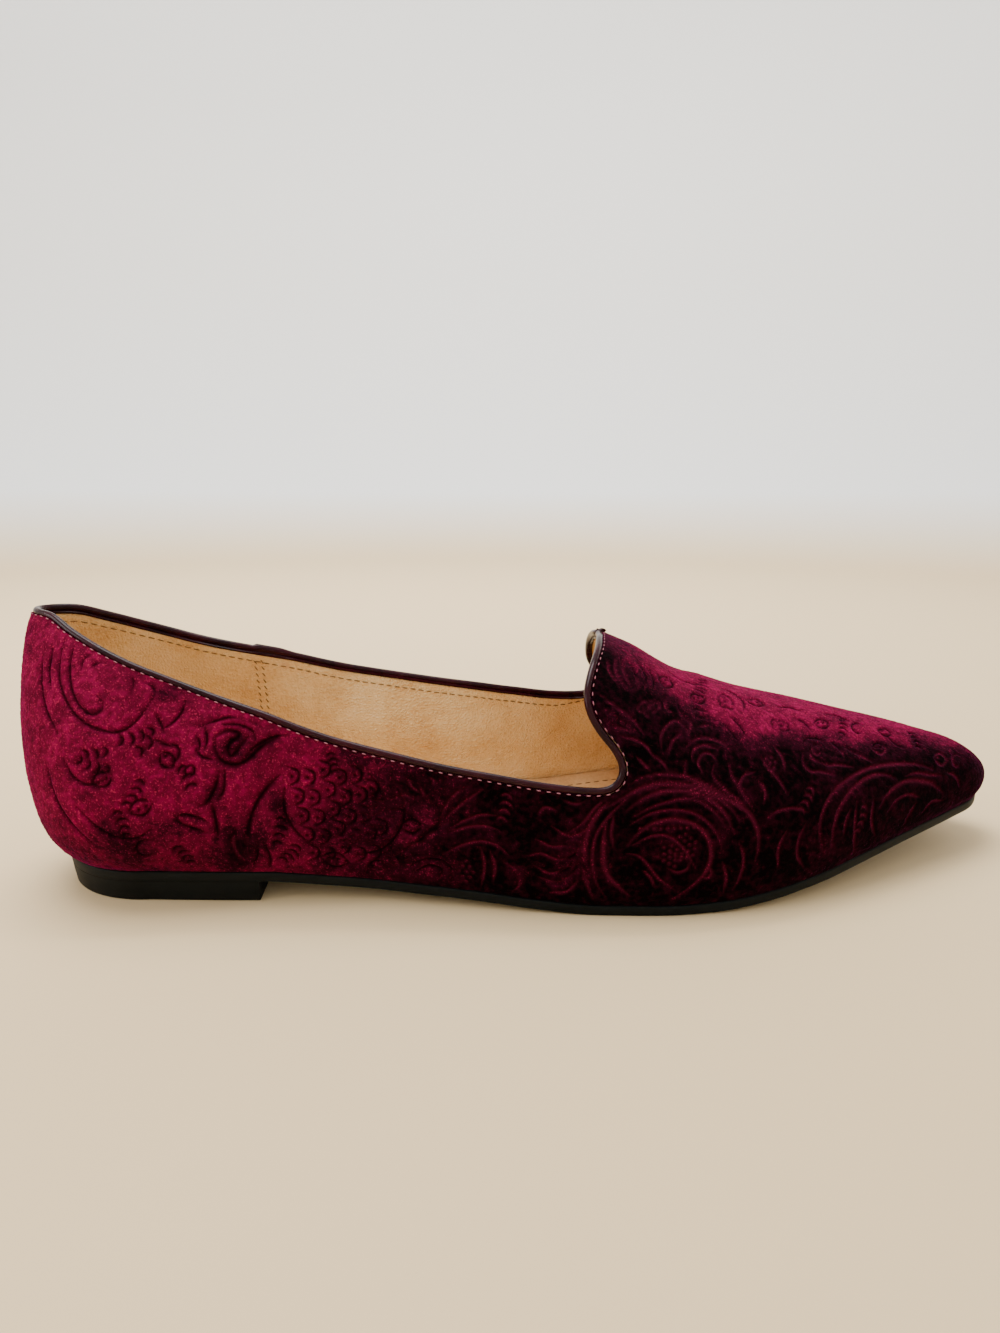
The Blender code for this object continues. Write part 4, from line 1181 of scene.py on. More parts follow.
fade = edge_fade(skin)
skin.points += skin_normals * (crease_depth(skin) * fade)[:, None]
emboss = read_chart(skin.along, skin.up) * fade
# Painted sheen and shade, carried by the skin's points.
sheen_shade = sheen_shade_of(skin)
rng = np.random.default_rng(11)
ripple = rng.normal(size=len(skin.points)) * PILE_RIPPLE
lift = PUFF_HEIGHT * (1 - np.clip(1.6 * emboss, 0, 1)) - PRESS_DEPTH * emboss + ripple
lift *= fade
velvet_points = skin.points + skin_normals * lift[:, None]
velvet_normals = normals_of(velvet_points, skin_faces)
print("relief from", round(float(lift.min()) / MM, 2), "to", round(float(lift.max()) / MM, 2), "mm")

# %% [markdown]
# Velvet is silk or rayon pile, cut short and standing. Seen along the pile it
# is dark, seen across it is bright, which a sheen layer gives. Tiny glints of
# the pile are painted into the colour as pale specks. Where a line is pressed,
# the pile lies flat: on cloth painted in shade the line is painted brighter, as
# sheen, and on cloth painted bright it is painted darker, as shade. The painted
# sheen and shade and the embossing come as attributes of the mesh, so they
# follow the cloth and not the camera.

# %% Velvet material
PILE_GLINT = 0.42
PILE_CLUMP = 1.3
CRUSH_PATCH = 5.0


def make_velvet():
    look, tree, shader, place = new_material("silk_velvet_embossed")
    sheen_shade_value = add(tree, "ShaderNodeAttribute", attribute_name="sheen_shade").outputs["Fac"]
    press = add(tree, "ShaderNodeAttribute", attribute_name="emboss").outputs["Fac"]
    glint = add(tree, "ShaderNodeTexNoise", {"Vector": place, "Scale": per_mm(PILE_GLINT), "Detail": 1.0})
    clump = add(tree, "ShaderNodeTexNoise", {"Vector": place, "Scale": per_mm(PILE_CLUMP), "Detail": 2.0})
    crush = add(tree, "ShaderNodeTexNoise", {"Vector": place, "Scale": per_mm(CRUSH_PATCH), "Detail": 3.0})
    # Painted sheen and shade: the colour runs from near black where shade is painted to crimson and magenta
    # where sheen is painted; the crush and clump noise add random tone.
    light = sum_up(tree, (sheen_shade_value, 0.46), (crush.outputs["Fac"], 0.30), (clump.outputs["Fac"], 0.44))
    cloth = ramp(tree, light, ((0.34, linear("#040101")), (0.58, linear("#290412")),
                               (0.81, linear("#5c0927")), (0.99, linear("#840d3e"))))
    # Pressed lines: near black as painted shade in the grooves of cloth painted bright, and a deep wine as
    # painted sheen on cloth painted in shade.
    shaded_line = blend(tree, press, cloth, linear("#080002"))
    ridge = add(tree, "ShaderNodeMath", {0: press, 1: 1.8}, operation="POWER")
    sheen_line = blend(tree, ridge.outputs[0], cloth, linear("#460d20"))
    painted_lit_share = ramp(tree, sheen_shade_value, ((0.16, (0, 0, 0, 1)), (0.38, (1, 1, 1, 1))))
    lined = blend(tree, painted_lit_share, sheen_line, shaded_line)
    # Painted glints: pale crimson specks of the pile's glitter set into the colour, most where sheen is
    # painted and along pressed ridges, fewer inside grooves on cloth painted bright.
    spark = ramp(tree, glint.outputs["Fac"], ((0.58, (0, 0, 0, 1)), (0.72, (1, 1, 1, 1))))
    share = sum_up(tree, (sheen_shade_value, 0.55), (ridge.outputs[0], 0.40), (clump.outputs["Fac"], 0.50))
    kept = add(tree, "ShaderNodeMapRange",
               {"Value": share, "From Min": 0.32, "From Max": 1.15, "To Max": 0.85})
    groove = add(tree, "ShaderNodeMath", {0: press, 1: painted_lit_share}, operation="MULTIPLY")
    clear = add(tree, "ShaderNodeMath", {0: groove.outputs[0], 1: -1.2, 2: 1.0}, operation="MULTIPLY_ADD",
                use_clamp=True)
    open_share = add(tree, "ShaderNodeMath", {0: kept.outputs[0], 1: clear.outputs[0]}, operation="MULTIPLY")
    spark_share = add(tree, "ShaderNodeMath", {0: spark, 1: open_share.outputs[0]}, operation="MULTIPLY",
                      use_clamp=True)
    colour = blend(tree, spark_share.outputs[0], lined, linear("#b42a50"))
    height = sum_up(tree, (glint.outputs["Fac"], 0.6), (clump.outputs["Fac"], 0.9))
    surface(tree, shader, colour, height, 0.8, 0.3 * MM, {
        "Roughness": 0.9, "Specular IOR Level": 0.02, "Sheen Weight": 0.21, "Sheen Roughness": 0.24,
        "Sheen Tint": linear("#c80090")})
    return look


VELVET = make_velvet()
print("made", VELVET.name)

# %% [markdown]
# The velvet is made as four panels: two quarters that meet behind the heel and
# two halves of the vamp. They share their edges and normals, so no seam shows.
# At the collar and along the sole the cloth is turned in by a millimetre,
# where the beading and the sole hide its edge.

# %% Velvet pieces


def hem(points, normals, loop, upward):
    """Faces that turn an edge in; returns the new points and the faces."""
    inner = points[loop] - normals[loop] * TURN_IN
    inner[:, 2] = points[loop][:, 2] + (0.15 * MM if upward < 0 else -0.15 * MM)
    first = len(points)
    n = len(loop) - 1
    a, b = np.arange(n), np.arange(1, n + 1)
    faces = np.stack([loop[a], loop[b], first + b, first + a], axis=-1)
    middle = np.cross(points[loop[1]] - points[loop[0]], inner[0] - points[loop[0]])
    if middle[2] * upward < 0:
        faces = faces[:, ::-1]
    return inner, faces


def velvet_piece(name, faces, hems):
    """One panel of velvet; hems are (loop, 1 at the rim or -1 at the sole)."""
    points, normals = velvet_points, velvet_normals
    # The painted sheen and shade and the pressed lines go along as point attributes.
    values = {"sheen_shade": sheen_shade, "emboss": emboss}
    parts = [faces]
    for loop, upward in hems:
        inner, turned = hem(points, normals, loop, upward)
        points = np.vstack([points, inner])
        normals = np.vstack([normals, normals[loop]])
        values = {k: np.concatenate([v, v[loop]]) for k, v in values.items()}
        parts.append(turned)
    return settle(mesh_piece(name, points, np.vstack(parts), VELVET, normals, values), "velvet", "upper")


back, tip = skin.back, skin.nose[:1]
velvet_piece("velvet_quarter_outer", skin.quarter(LATERAL),
             [(skin.wall[-1, :back + 1], 1), (skin.wall[0, :back + 1], -1)])
velvet_piece("velvet_quarter_inner", skin.quarter(MEDIAL),
             [(skin.wall[-1, back:], 1), (skin.wall[0, back:], -1)])
velvet_piece("velvet_vamp_outer", skin.half_vamp(LATERAL),
             [(skin.tab[0][skin.rows:, 0], 1), (np.concatenate([skin.vamp[0], tip]), -1)])
velvet_piece("velvet_vamp_inner", skin.half_vamp(MEDIAL),
             [(skin.tab[1][skin.rows:, 0], 1), (np.concatenate([tip, skin.vamp[-1, ::-1]]), -1)])

# %% [markdown]
# The lining is soft tan leather, glued to the velvet and seen from above and
# from the far side. It is a closed wall of its own: an inner face one wall
# thickness inside the velvet's, an outer face just behind the velvet, and
# edges that join them.

# %% Lining
LINING_ROWS, LINING_TAB_ROWS, LINING_STEP, LINING_TIP_STEPS = 36, 28, 1.2 * MM, 10


def inward(face, normals, depth):
    """Points that lie depth inside the upper's face, level along the sole."""
    flat = normals.copy()
    flat[:, 2] *= np.clip(face.up / (3 * WALL), 0.0, 1.0)
    return face.points - unit(flat) * depth


def bridge_loop(a, b):
    """Quads between two closed loops of the same length."""
    a, b = np.append(a, a[0]), np.append(b, b[0])
    return np.stack([a[:-1], a[1:], b[1:], b[:-1]], axis=-1)


def make_lining():
    base = Face(LINING_ROWS, LINING_TAB_ROWS, LINING_STEP, LINING_TIP_STEPS)
    faces = base.faces()
    normals = normals_of(base.points, faces)
    base.points += normals * (crease_depth(base) * edge_fade(base))[:, None]
    inner = inward(base, normals, WALL)
    outer = inward(base, normals, TURN_IN + 0.15 * MM)
    count = len(base.points)
    parts = [faces[:, ::-1], faces + count, bridge_loop(base.rim(), base.rim() + count),
             bridge_loop(base.foot() + count, base.foot())]
    return turn_out(mesh_piece("leather_lining", np.vstack([inner, outer]), np.vstack(parts)))


lining = settle(make_lining(), "lining_leather", "upper")

# %% [markdown]
# Lining leather is thin dyed calf or pig, wiped with a soft finish. Its grain
# is a net of fine creases about a millimetre across, and the finish gives a
# satin gloss that breaks up on the grain. The colour is mottled where hands
# and heat have touched it.

# %% Leather materials
LEATHER_GRAIN = 0.9
LEATHER_CREASE = 3.2


def make_leather(name, light, mid, dark, roughness, grain=0.35, stain=None):
    look, tree, shader, place = new_material(name)
    tone = add(tree, "ShaderNodeTexNoise", {"Vector": place, "Scale": per_mm(14.0), "Detail": 4.0})
    fine = add(tree, "ShaderNodeTexNoise", {"Vector": place, "Scale": per_mm(LEATHER_GRAIN), "Detail": 3.0})
    cells = add(tree, "ShaderNodeTexVoronoi", {"Vector": place, "Scale": per_mm(LEATHER_GRAIN)},
                feature="DISTANCE_TO_EDGE")
    long_way = add(tree, "ShaderNodeMapping", {"Vector": place, "Scale": (0.35, 1.0, 1.0)})
    crease = add(tree, "ShaderNodeTexNoise", {"Vector": long_way.outputs[0], "Scale": per_mm(LEATHER_CREASE),
                                              "Detail": 3.0, "Distortion": 0.8})
    mix = sum_up(tree, (tone.outputs["Fac"], 0.7), (fine.outputs["Fac"], 0.3))
    colour = ramp(tree, mix, ((0.32, linear(dark)), (0.5, linear(mid)), (0.68, linear(light))))
    if stain:
        away = add(tree, "ShaderNodeVectorMath", {0: place, 1: stain}, operation="DISTANCE")
        mark = add(tree, "ShaderNodeMapRange", {"Value": away.outputs["Value"], "From Min": 0.5 * MM,
                                                "From Max": 2.6 * MM, "To Min": 0.6, "To Max": 0.0})
        colour = blend(tree, mark.outputs[0], colour, linear("#b0504e"))
    gloss = add(tree, "ShaderNodeMapRange", {"Value": fine.outputs["Fac"], "From Min": 0.3, "From Max": 0.7,
                                             "To Min": roughness - 0.08, "To Max": roughness + 0.12})
    tree.links.new(gloss.outputs[0], shader.inputs["Roughness"])
    height = sum_up(tree, (cells.outputs["Distance"], 0.9), (crease.outputs["Fac"], 1.0),
                    (fine.outputs["Fac"], 0.4))
    surface(tree, shader, colour, height, grain, 0.5 * MM, {})
    return look


STAIN = (0.0249, 0.0220, 0.0472)
LINING = make_leather("calf_lining_satin", "#f6d6a0", "#edc88a", "#d8a969", 0.36, 0.95, STAIN)
SOCK = make_leather("insole_sock_leather", "#dcb27c", "#c99b64", "#ae7f4c", 0.55, 0.25)
lining.data.materials.append(LINING)


def make_patent():
    """Leather under a poured gloss coat: deep colour, sharp highlights."""
    look, tree, shader, place = new_material("patent_leather_beading")
    tone = add(tree, "ShaderNodeTexNoise", {"Vector": place, "Scale": per_mm(6.0), "Detail": 2.0})
    colour = ramp(tree, tone.outputs["Fac"], ((0.35, linear("#1c0307")), (0.65, linear("#2e060f"))))
    skin_grain = add(tree, "ShaderNodeTexNoise", {"Vector": place, "Scale": per_mm(0.8), "Detail": 2.0})
    surface(tree, shader, colour, skin_grain.outputs["Fac"], 0.12, 0.2 * MM, {
        "Roughness": 0.24, "Specular IOR Level": 0.10, "Coat Weight": 0.06, "Coat Roughness": 0.08})
    return look


PATENT = make_patent()


def make_rubber():
    """Moulded sole rubber: near black, satin, with a few pale rubs."""
    look, tree, shader, place = new_material("moulded_sole_rubber")
    tone = add(tree, "ShaderNodeTexNoise", {"Vector": place, "Scale": per_mm(9.0), "Detail": 4.0})
    rub = add(tree, "ShaderNodeTexNoise", {"Vector": place, "Scale": per_mm(1.8), "Detail": 5.0,
                                           "Roughness": 0.7})
    base = ramp(tree, tone.outputs["Fac"], ((0.35, linear("#010405")), (0.7, linear("#04090a"))))
    rubbed = ramp(tree, rub.outputs["Fac"], ((0.66, (0, 0, 0, 1)), (0.80, (0.5, 0.5, 0.5, 1))))
    colour = blend(tree, rubbed, base, linear("#1a2423"))
    surface(tree, shader, colour, rub.outputs["Fac"], 0.2, 0.15 * MM, {
        "Roughness": 0.55, "Specular IOR Level": 0.12})
    return look


RUBBER = make_rubber()
print("materials:", [m.name for m in bpy.data.materials if m.users])

# %% [markdown]
# Outsole and insole are plates in the upper's outline. The outline is read
# from the same wall function, so the sole's edge follows the upper all round.
# Each plate is a stack of outlines: rounding at an edge is two or three more
# outlines, each set in a little. The insole is padded and pressed by the last,
# so its edge turns up all round like a shallow dish.

# %% Sole outlines
SLOPE_STEP = 0.5 * MM
PLATE_STEP = 2.0 * MM
PLATE_COLUMNS = 20
SEAT_STEPS = 26
TIP_TURNS = np.radians(np.linspace(6, 84, 14))


def face_width(x, z, side, depth):
    """Half width of a face that lies depth inside the upper's outer face."""
    here = wall_width(x, z, side)
    rise = (wall_width(x, z + SLOPE_STEP, side) - here) / SLOPE_STEP
    taper = (here - wall_width(x - SLOPE_STEP, z, side)) / SLOPE_STEP
    return here - depth * np.sqrt(1 + rise ** 2 + taper ** 2)


def back_face(z, depth):
    slope = (back_line(z + SLOPE_STEP) - back_line(z)) / SLOPE_STEP
    return float(back_line(z) + depth * np.hypot(1, slope))


def outline(lift, depth, gap):
    """Outline of a plate: stations and the outer and inner half widths."""
    tip = LENGTH - TOE_ROUND
    back = back_face(float(bed(0, 0)) + lift, depth) + gap
    nose_slope = 2 * NOSE_TUCK / float(body(LENGTH, "bulge") * INSTEP_RISE)
    front = LENGTH - NOSE_TUCK - depth * math.hypot(1, nose_slope) - gap

    def halves(x):
        rims = [(s, bed(x, s * edge_width(x, s)) + lift) for s in (LATERAL, MEDIAL)]
        return np.stack([face_width(x, z, s, depth) - gap for s, z in rims], axis=-1)

    angle = math.pi / 2 * np.arange(1, SEAT_STEPS + 1) / SEAT_STEPS
    seat_x = HEEL_SEAT - (HEEL_SEAT - back) * np.cos(angle)
    seat = halves(np.array([HEEL_SEAT])) * np.sin(angle)[:, None]
    middle_x = np.linspace(HEEL_SEAT, tip, round((tip - HEEL_SEAT) / PLATE_STEP) + 1)[1:]
    turn = np.sin(TIP_TURNS)
    reach = (TOE_ROUND * turn - NOSE_TUCK * turn ** 2) / (TOE_ROUND - NOSE_TUCK)
    along = tip + TOE_ROUND * turn
    taper = np.stack([body(along, name) / body(tip, name) for name in ("lateral", "medial")], axis=-1)
    tip_half = halves(np.array([tip])) * taper * np.cos(TIP_TURNS)[:, None]
    x = np.concatenate([seat_x, middle_x, tip + (front - tip) * reach])
    return back, x, np.vstack([seat, halves(middle_x), tip_half]), front


def edge_rise(flat, loop, dish, reach):
    """How far a dished plate rises at places near its outline."""
    gaps = np.linalg.norm(flat[:, None, :2] - loop[None, :, :2], axis=2).min(axis=1)
    return dish * (1 - np.clip(gaps / reach, 0.0, 1.0)) ** 2


def make_plate(name, look, levels, depth, gap, dish=0.0, reach=1.0):
    """A closed plate; levels are (lift, inset) from the underside up."""
    points, faces, loops, caps = np.zeros((0, 3)), [], [], []
    for lift, inset in levels:
        back, x, half, front = outline(lift, depth, gap + inset)
        across = np.linspace(0, 1, PLATE_COLUMNS + 1)[None, :]
        y = -half[:, :1] + (half[:, :1] + half[:, 1:]) * across
        xs = np.broadcast_to(x[:, None], y.shape)
        grid = np.stack([xs, y, bed(xs, y) + lift], axis=-1).reshape(-1, 3)
        ends = np.array([(e, 0.0, float(bed(e, 0.0)) + lift) for e in (back, front)])
        index = len(points) + np.arange(y.size).reshape(y.shape)
        tips = len(points) + y.size + np.arange(2)
        points = np.vstack([points, grid, ends])
        loops.append(np.concatenate([tips[:1], index[:, 0], tips[1:], index[::-1, -1]]))
        caps.append((index, tips))
        if dish and len(loops) > 1:
            here = np.concatenate([index.ravel(), tips])
            points[here, 2] += edge_rise(points[here], points[loops[-1]], dish, reach)
    for (index, tips), flip in ((caps[0], False), (caps[-1], True)):
        sheet = [[a, b, c, d] for a, b, c, d in np.stack(
            [index[:-1, :-1], index[1:, :-1], index[1:, 1:], index[:-1, 1:]], axis=-1).reshape(-1, 4)]
        sheet += [[tips[0], a, b] for a, b in zip(index[0, :-1], index[0, 1:])]
        sheet += [[tips[1], b, a] for a, b in zip(index[-1, :-1], index[-1, 1:])]
        faces += [f[::-1] for f in sheet] if not flip else sheet
    for low, high in zip(loops, loops[1:]):
        faces += bridge_loop(low, high).tolist()
    return outward(mesh_piece(name, points, faces, look))


SOLE_BEVEL = 0.5 * MM
sole_levels = ((-SOLE_THICKNESS, 0.30 * MM), (-SOLE_THICKNESS + 0.08 * MM, 0.12 * MM),
               (-SOLE_THICKNESS + SOLE_BEVEL, 0.0), (-0.35 * MM, 0.0), (-0.1 * MM, 0.08 * MM),
               (0.0, 0.25 * MM))
settle(make_plate("outsole_rubber", RUBBER, sole_levels, 0.0, 0.0), "sole_rubber", "outsole")
INSOLE_GAP = 0.25 * MM
sock_levels = ((CLEARANCE, 0.0), (CLEARANCE + 0.6 * INSOLE_THICKNESS, 0.0),
               (CLEARANCE + 0.9 * INSOLE_THICKNESS, 0.05 * MM), (CLEARANCE + INSOLE_THICKNESS, 0.35 * MM))
SOCK_DISH, SOCK_REACH = 3.2 * MM, 10.5 * MM
settle(make_plate("insole_sock", SOCK, sock_levels, WALL, INSOLE_GAP, SOCK_DISH, SOCK_REACH),
       "lining_leather", "insole")

# %% [markdown]
# The heel is a low moulded block under the sole: round behind, straight and
# upright at its breast. It widens towards the sole and meets it flush, so the
# two read as one black edge.

# %% Heel block
HEEL_LEVELS = ((0.0, 1.0 * MM), (0.12 * MM, 0.76 * MM), (0.4 * MM, 0.60 * MM), (3.2 * MM, 0.25 * MM),
               (5.2 * MM, 0.10 * MM))


def make_heel():
    points, loops = [], []
    for z, inset in HEEL_LEVELS:
        back = back_face(float(bed(0, 0)), 0.0) + inset
        seat = np.array([float(edge_width(HEEL_SEAT, s)) - inset for s in (LATERAL, MEDIAL)])
        angle = math.pi / 2 * np.arange(0, SEAT_STEPS + 1) / SEAT_STEPS
        x = np.concatenate([HEEL_SEAT - (HEEL_SEAT - back) * np.cos(angle),
                            np.linspace(HEEL_SEAT, BREAST_STATION, 12)[1:]])
        half = np.vstack([seat * np.sin(angle)[:, None], np.stack(
            [edge_width(x[SEAT_STEPS + 1:], s) - inset for s in (LATERAL, MEDIAL)], axis=-1)])
        ring = [(a, -h) for a, h in zip(x, half[:, 0])] + [(a, h) for a, h in zip(x[:0:-1], half[:0:-1, 1])]
        loops.append(np.arange(len(points), len(points) + len(ring)))
        points += [(a, b, z) for a, b in ring]
    faces = [loops[0][::-1].tolist(), loops[-1].tolist()]
    for low, high in zip(loops, loops[1:]):
        faces += bridge_loop(low, high).tolist()
    return outward(mesh_piece("heel_rubber", np.array(points), faces, RUBBER), 40)


settle(make_heel(), "sole_rubber", "heel_block")

# %% [markdown]
# The beading is a cord wrapped in a strip of patent leather and sewn along the
# whole edge. Inside the shoe the strip shows below the cord as a narrow flat
# band. One profile, a round with a tongue, is swept along the rim. On the
# inner side, over the joint of the lining, the strip's ends overlap: there the
# cord is thicker for a centimetre.

# %% Beading
BEAD_SIDES = 18
BEAD_STEP = 0.9 * MM
TONGUE = 0.40 * MM
CORD_RADIUS = 0.88 * MM
CORD_SINK = 0.35 * MM
LAP_START, LAP_END, LAP_SWELL = 49.5 * MM, 60.5 * MM, 0.32
RIM_SMOOTHING, TWIST_SMOOTHING = 3, 12


def neighbours(values):
    """Each row of a closed run twice, plus the rows beside it."""
    return np.roll(values, 1, axis=0) + 2 * values + np.roll(values, -1, axis=0)


def rim_frame():
    """Even frames along the rim: middle of the edge, up off it, and outward."""
    loop = skin.rim()
    across = skin_normals[loop]
    middle = skin.points[loop] - across * WALL / 2
    closed = np.vstack([middle, middle[:1]])
    out = np.vstack([across, across[:1]])
    run = run_of(closed)
    count = round(run[-1] / BEAD_STEP)
    at = np.arange(count) * run[-1] / count
    middle, across = places_along(closed, run, at), places_along(out, run, at)
    for _ in range(RIM_SMOOTHING):
        middle = neighbours(middle) / 4
    along = unit(np.roll(middle, -2, axis=0) - np.roll(middle, 2, axis=0))
    across = unit(across - (across * along).sum(1)[:, None] * along)
    up = np.cross(along, across)
    if up[int(np.argmin(middle[:, 0]))][2] < 0:
        up = -up
    for _ in range(TWIST_SMOOTHING):
        up = unit(neighbours(up))
        across = neighbours(across)
        across = unit(across - (across * up).sum(1)[:, None] * up)
    return middle, up, across


def bead_profile(radius):
    """(across, up) points round the cord and its tongue, from outside to inside."""
    turns = np.radians(np.linspace(-62, 208, BEAD_SIDES))
    middle = CLEARANCE + radius - CORD_SINK
    cord = [(radius * math.cos(a), middle + radius * math.sin(a)) for a in turns]
    half = WALL / 2
    tongue = [(-half - 0.42 * MM, 0.25 * MM), (-half - 0.36 * MM, -0.5 * TONGUE),
              (-half - 0.30 * MM, -0.88 * TONGUE), (-half - 0.05 * MM, -TONGUE),
              (-half + 0.10 * MM, -0.8 * TONGUE), (-half + 0.12 * MM, 0.10 * MM)]
    return np.array(cord + tongue)


def make_beading():
    station = rim_middle[:, 0]
    lap = ease(station, LAP_START, LAP_START + 0.8 * MM) * (1 - ease(station, LAP_END - 5 * MM, LAP_END))
    lap = np.where(rim_middle[:, 1] > 0, lap, 0.0)
    points = []
    for m, u, v, thick in zip(rim_middle, rim_up, rim_across, lap):
        profile = bead_profile(CORD_RADIUS * (1 + LAP_SWELL * thick))
        points.append(m + profile[:, :1] * v + profile[:, 1:] * u)
    count = len(points[0])
    index = np.arange(len(points) * count).reshape(len(points), count)
    faces = []
    for a, b in zip(index, np.roll(index, -1, axis=0)):
        faces += bridge_loop(a, b).tolist()
    return outward(mesh_piece("patent_beading", np.vstack(points), faces, PATENT), 60)


rim_middle, rim_up, rim_across = rim_frame()
settle(make_beading(), "patent_leather", "piping")

# %% [markdown]
# Stitches repeat along a path, so Geometry Nodes make them. A run is a line of
# points that carries the direction out of the leather. The tree turns it into
# a curve, spaces points at the stitch length, sets a rounded thread on each
# one along the curve and flat to the leather, and gives it the thread's
# material. The result is turned into a plain mesh.

# %% Stitch tree


def make_stitch_tree():
    tree = bpy.data.node_groups.new("stitch_run", "GeometryNodeTree")
    put = tree.interface.new_socket
    put("Line", in_out="INPUT", socket_type="NodeSocketGeometry")
    for name, value in (("Pitch", 2.2 * MM), ("Length", 1.7 * MM), ("Thread", 0.4 * MM), ("Tilt", 0.0)):
        put(name, in_out="INPUT", socket_type="NodeSocketFloat").default_value = value
    put("Finish", in_out="INPUT", socket_type="NodeSocketMaterial")
    put("Stitches", in_out="OUTPUT", socket_type="NodeSocketGeometry")
    given = add(tree, "NodeGroupInput").outputs
    curve = add(tree, "GeometryNodeMeshToCurve", {"Mesh": given["Line"]})
    spaced = add(tree, "GeometryNodeResampleCurve", {"Curve": curve.outputs[0], "Length": given["Pitch"]},
                 mode="LENGTH")
    thread = add(tree, "GeometryNodeMeshUVSphere", {"Segments": 8, "Rings": 5, "Radius": 0.5})
    size = add(tree, "ShaderNodeCombineXYZ",
               {"X": given["Length"], "Y": given["Thread"], "Z": given["Thread"]})
    tangent = add(tree, "GeometryNodeInputTangent")
    outward_way = add(tree, "GeometryNodeInputNamedAttribute", {"Name": "face_out"}, data_type="FLOAT_VECTOR")
    along = add(tree, "FunctionNodeAlignRotationToVector", {"Vector": tangent.outputs[0]}, axis="X")
    flat = add(tree, "FunctionNodeAlignRotationToVector",
               {"Rotation": along.outputs[0], "Vector": outward_way.outputs[0]}, axis="Z", pivot_axis="X")
    wobble = add(tree, "FunctionNodeRandomValue", {"Min": -0.06, "Max": 0.06, "Seed": 7}, data_type="FLOAT")
    lean = add(tree, "ShaderNodeMath", {0: given["Tilt"], 1: wobble.outputs[1]}, operation="ADD")
    spin = add(tree, "ShaderNodeCombineXYZ", {"Z": lean.outputs[0]})
    turned = add(tree, "FunctionNodeRotateRotation",
                 {"Rotation": flat.outputs[0], "Rotate By": spin.outputs[0]}, rotation_space="LOCAL")
    laid = add(tree, "GeometryNodeInstanceOnPoints",
               {"Points": spaced.outputs[0], "Instance": thread.outputs["Mesh"],
                "Rotation": turned.outputs[0], "Scale": size.outputs[0]})
    real = add(tree, "GeometryNodeRealizeInstances", {"Geometry": laid.outputs[0]})
    dressed = add(tree, "GeometryNodeSetMaterial", {"Geometry": real.outputs[0], "Material": given["Finish"]})
    add(tree, "NodeGroupOutput", {"Stitches": dressed.outputs[0]})
    return tree


STITCH_TREE = make_stitch_tree()


def make_thread(name, code):
    """Twisted polyester sewing thread: matt, with a fine twist whose grooves are painted darker, as shade."""
    look, tree, shader, place = new_material(name)
    twist = add(tree, "ShaderNodeTexWave", {"Vector": place, "Scale": per_mm(1.2), "Distortion": 1.0})
    # Painted shade: the twist's grooves are a darker copy of the thread colour.
    shade = tuple(0.6 * c for c in linear(code)[:3]) + (1.0,)
    colour = blend(tree, twist.outputs["Fac"], linear(code), shade)
    tree.links.new(colour, shader.inputs["Base Color"])
    shader.inputs["Roughness"].default_value = 0.7
    return look


TAN_THREAD = make_thread("tan_polyester_thread", "#8a6432")
WINE_THREAD = make_thread("wine_polyester_thread", "#a8606e")


def stitch_run(name, runs, finish, slot, **sizes):
    """Stitches along one or more (points, out directions, closed) runs, as one mesh."""
    mesh = bpy.data.meshes.new(name)
    points, edges, outs = [], [], []
    for run, out, closed in runs:
        first = len(points)
        points += to_row(run).tolist()
        outs += out.tolist()
        edges += [(first + k, first + k + 1) for k in range(len(run) - 1)]
        if closed:
            edges.append((first + len(run) - 1, first))
    mesh.from_pydata(points, edges, [])
    layer = mesh.attributes.new("face_out", "FLOAT_VECTOR", "POINT")
    layer.data.foreach_set("vector", np.array(outs, np.float32).ravel())
    item = bpy.data.objects.new(name, mesh)
    bpy.context.scene.collection.objects.link(item)
    modifier = item.modifiers.new("stitches", "NODES")
    modifier.node_group = STITCH_TREE
    named = {s.name: s.identifier for s in STITCH_TREE.interface.items_tree if s.in_out == "INPUT"}
    modifier[named["Finish"]] = finish
    for key, value in sizes.items():
        modifier[named[key.capitalize()]] = value
    view = bpy.context.evaluated_depsgraph_get()
    plain = bpy.data.meshes.new_from_object(item.evaluated_get(view))
    plain.shade_smooth()
    item.modifiers.clear()
    item.data = plain
    return settle(item, slot)


# %% [markdown]
# Where the stitches run. One row shows beside the cord on the velvet side, as
# short pale dashes. One row runs in the lining, three millimetres under the
# edge. Two rows close the upright seam of the lining near the heel, and one
# follows the edge of the insole.

# %% Stitch runs


def below_rim(face, points, distance):
    """Points that lie a distance in from the rim, along the wall and the vamp."""
    result = []
    wall = points[face.wall]
    lateral, medial = (points[t] for t in face.tab)

    def walk(line):
        return places_along(line, run_of(line), [distance])[0]

    r = face.rows
    gap = max(int(distance / FACE_STEP), 1)
    tab = [walk(lateral[k]) for k in range(r + gap, len(lateral), 4)]
    result += tab[::-1]
    result += [walk(wall[::-1, c]) for c in range(gap, wall.shape[1] - gap, 5)]
    result += [walk(medial[k]) for k in range(r + gap, len(medial) - 1, 4)]
    return np.array(result)


inner_points = inward(skin, skin_normals, WALL)
lining_run = below_rim(skin, inner_points, 2.7 * MM)
tree_of_skin = tree_of(inner_points, np.unique(skin_faces))


def lining_out(points):
    """Direction out of the lining at some points, into the shoe."""
    return np.array([-skin_normals[tree_of_skin.find(p)[1]] for p in points])


lining_out_way = lining_out(lining_run)
stitch_run("lining_stitches", [(lining_run + lining_out_way * 0.08 * MM, lining_out_way, True)], TAN_THREAD,
           "lining_leather", pitch=2.3 * MM, length=1.75 * MM, thread=0.36 * MM)

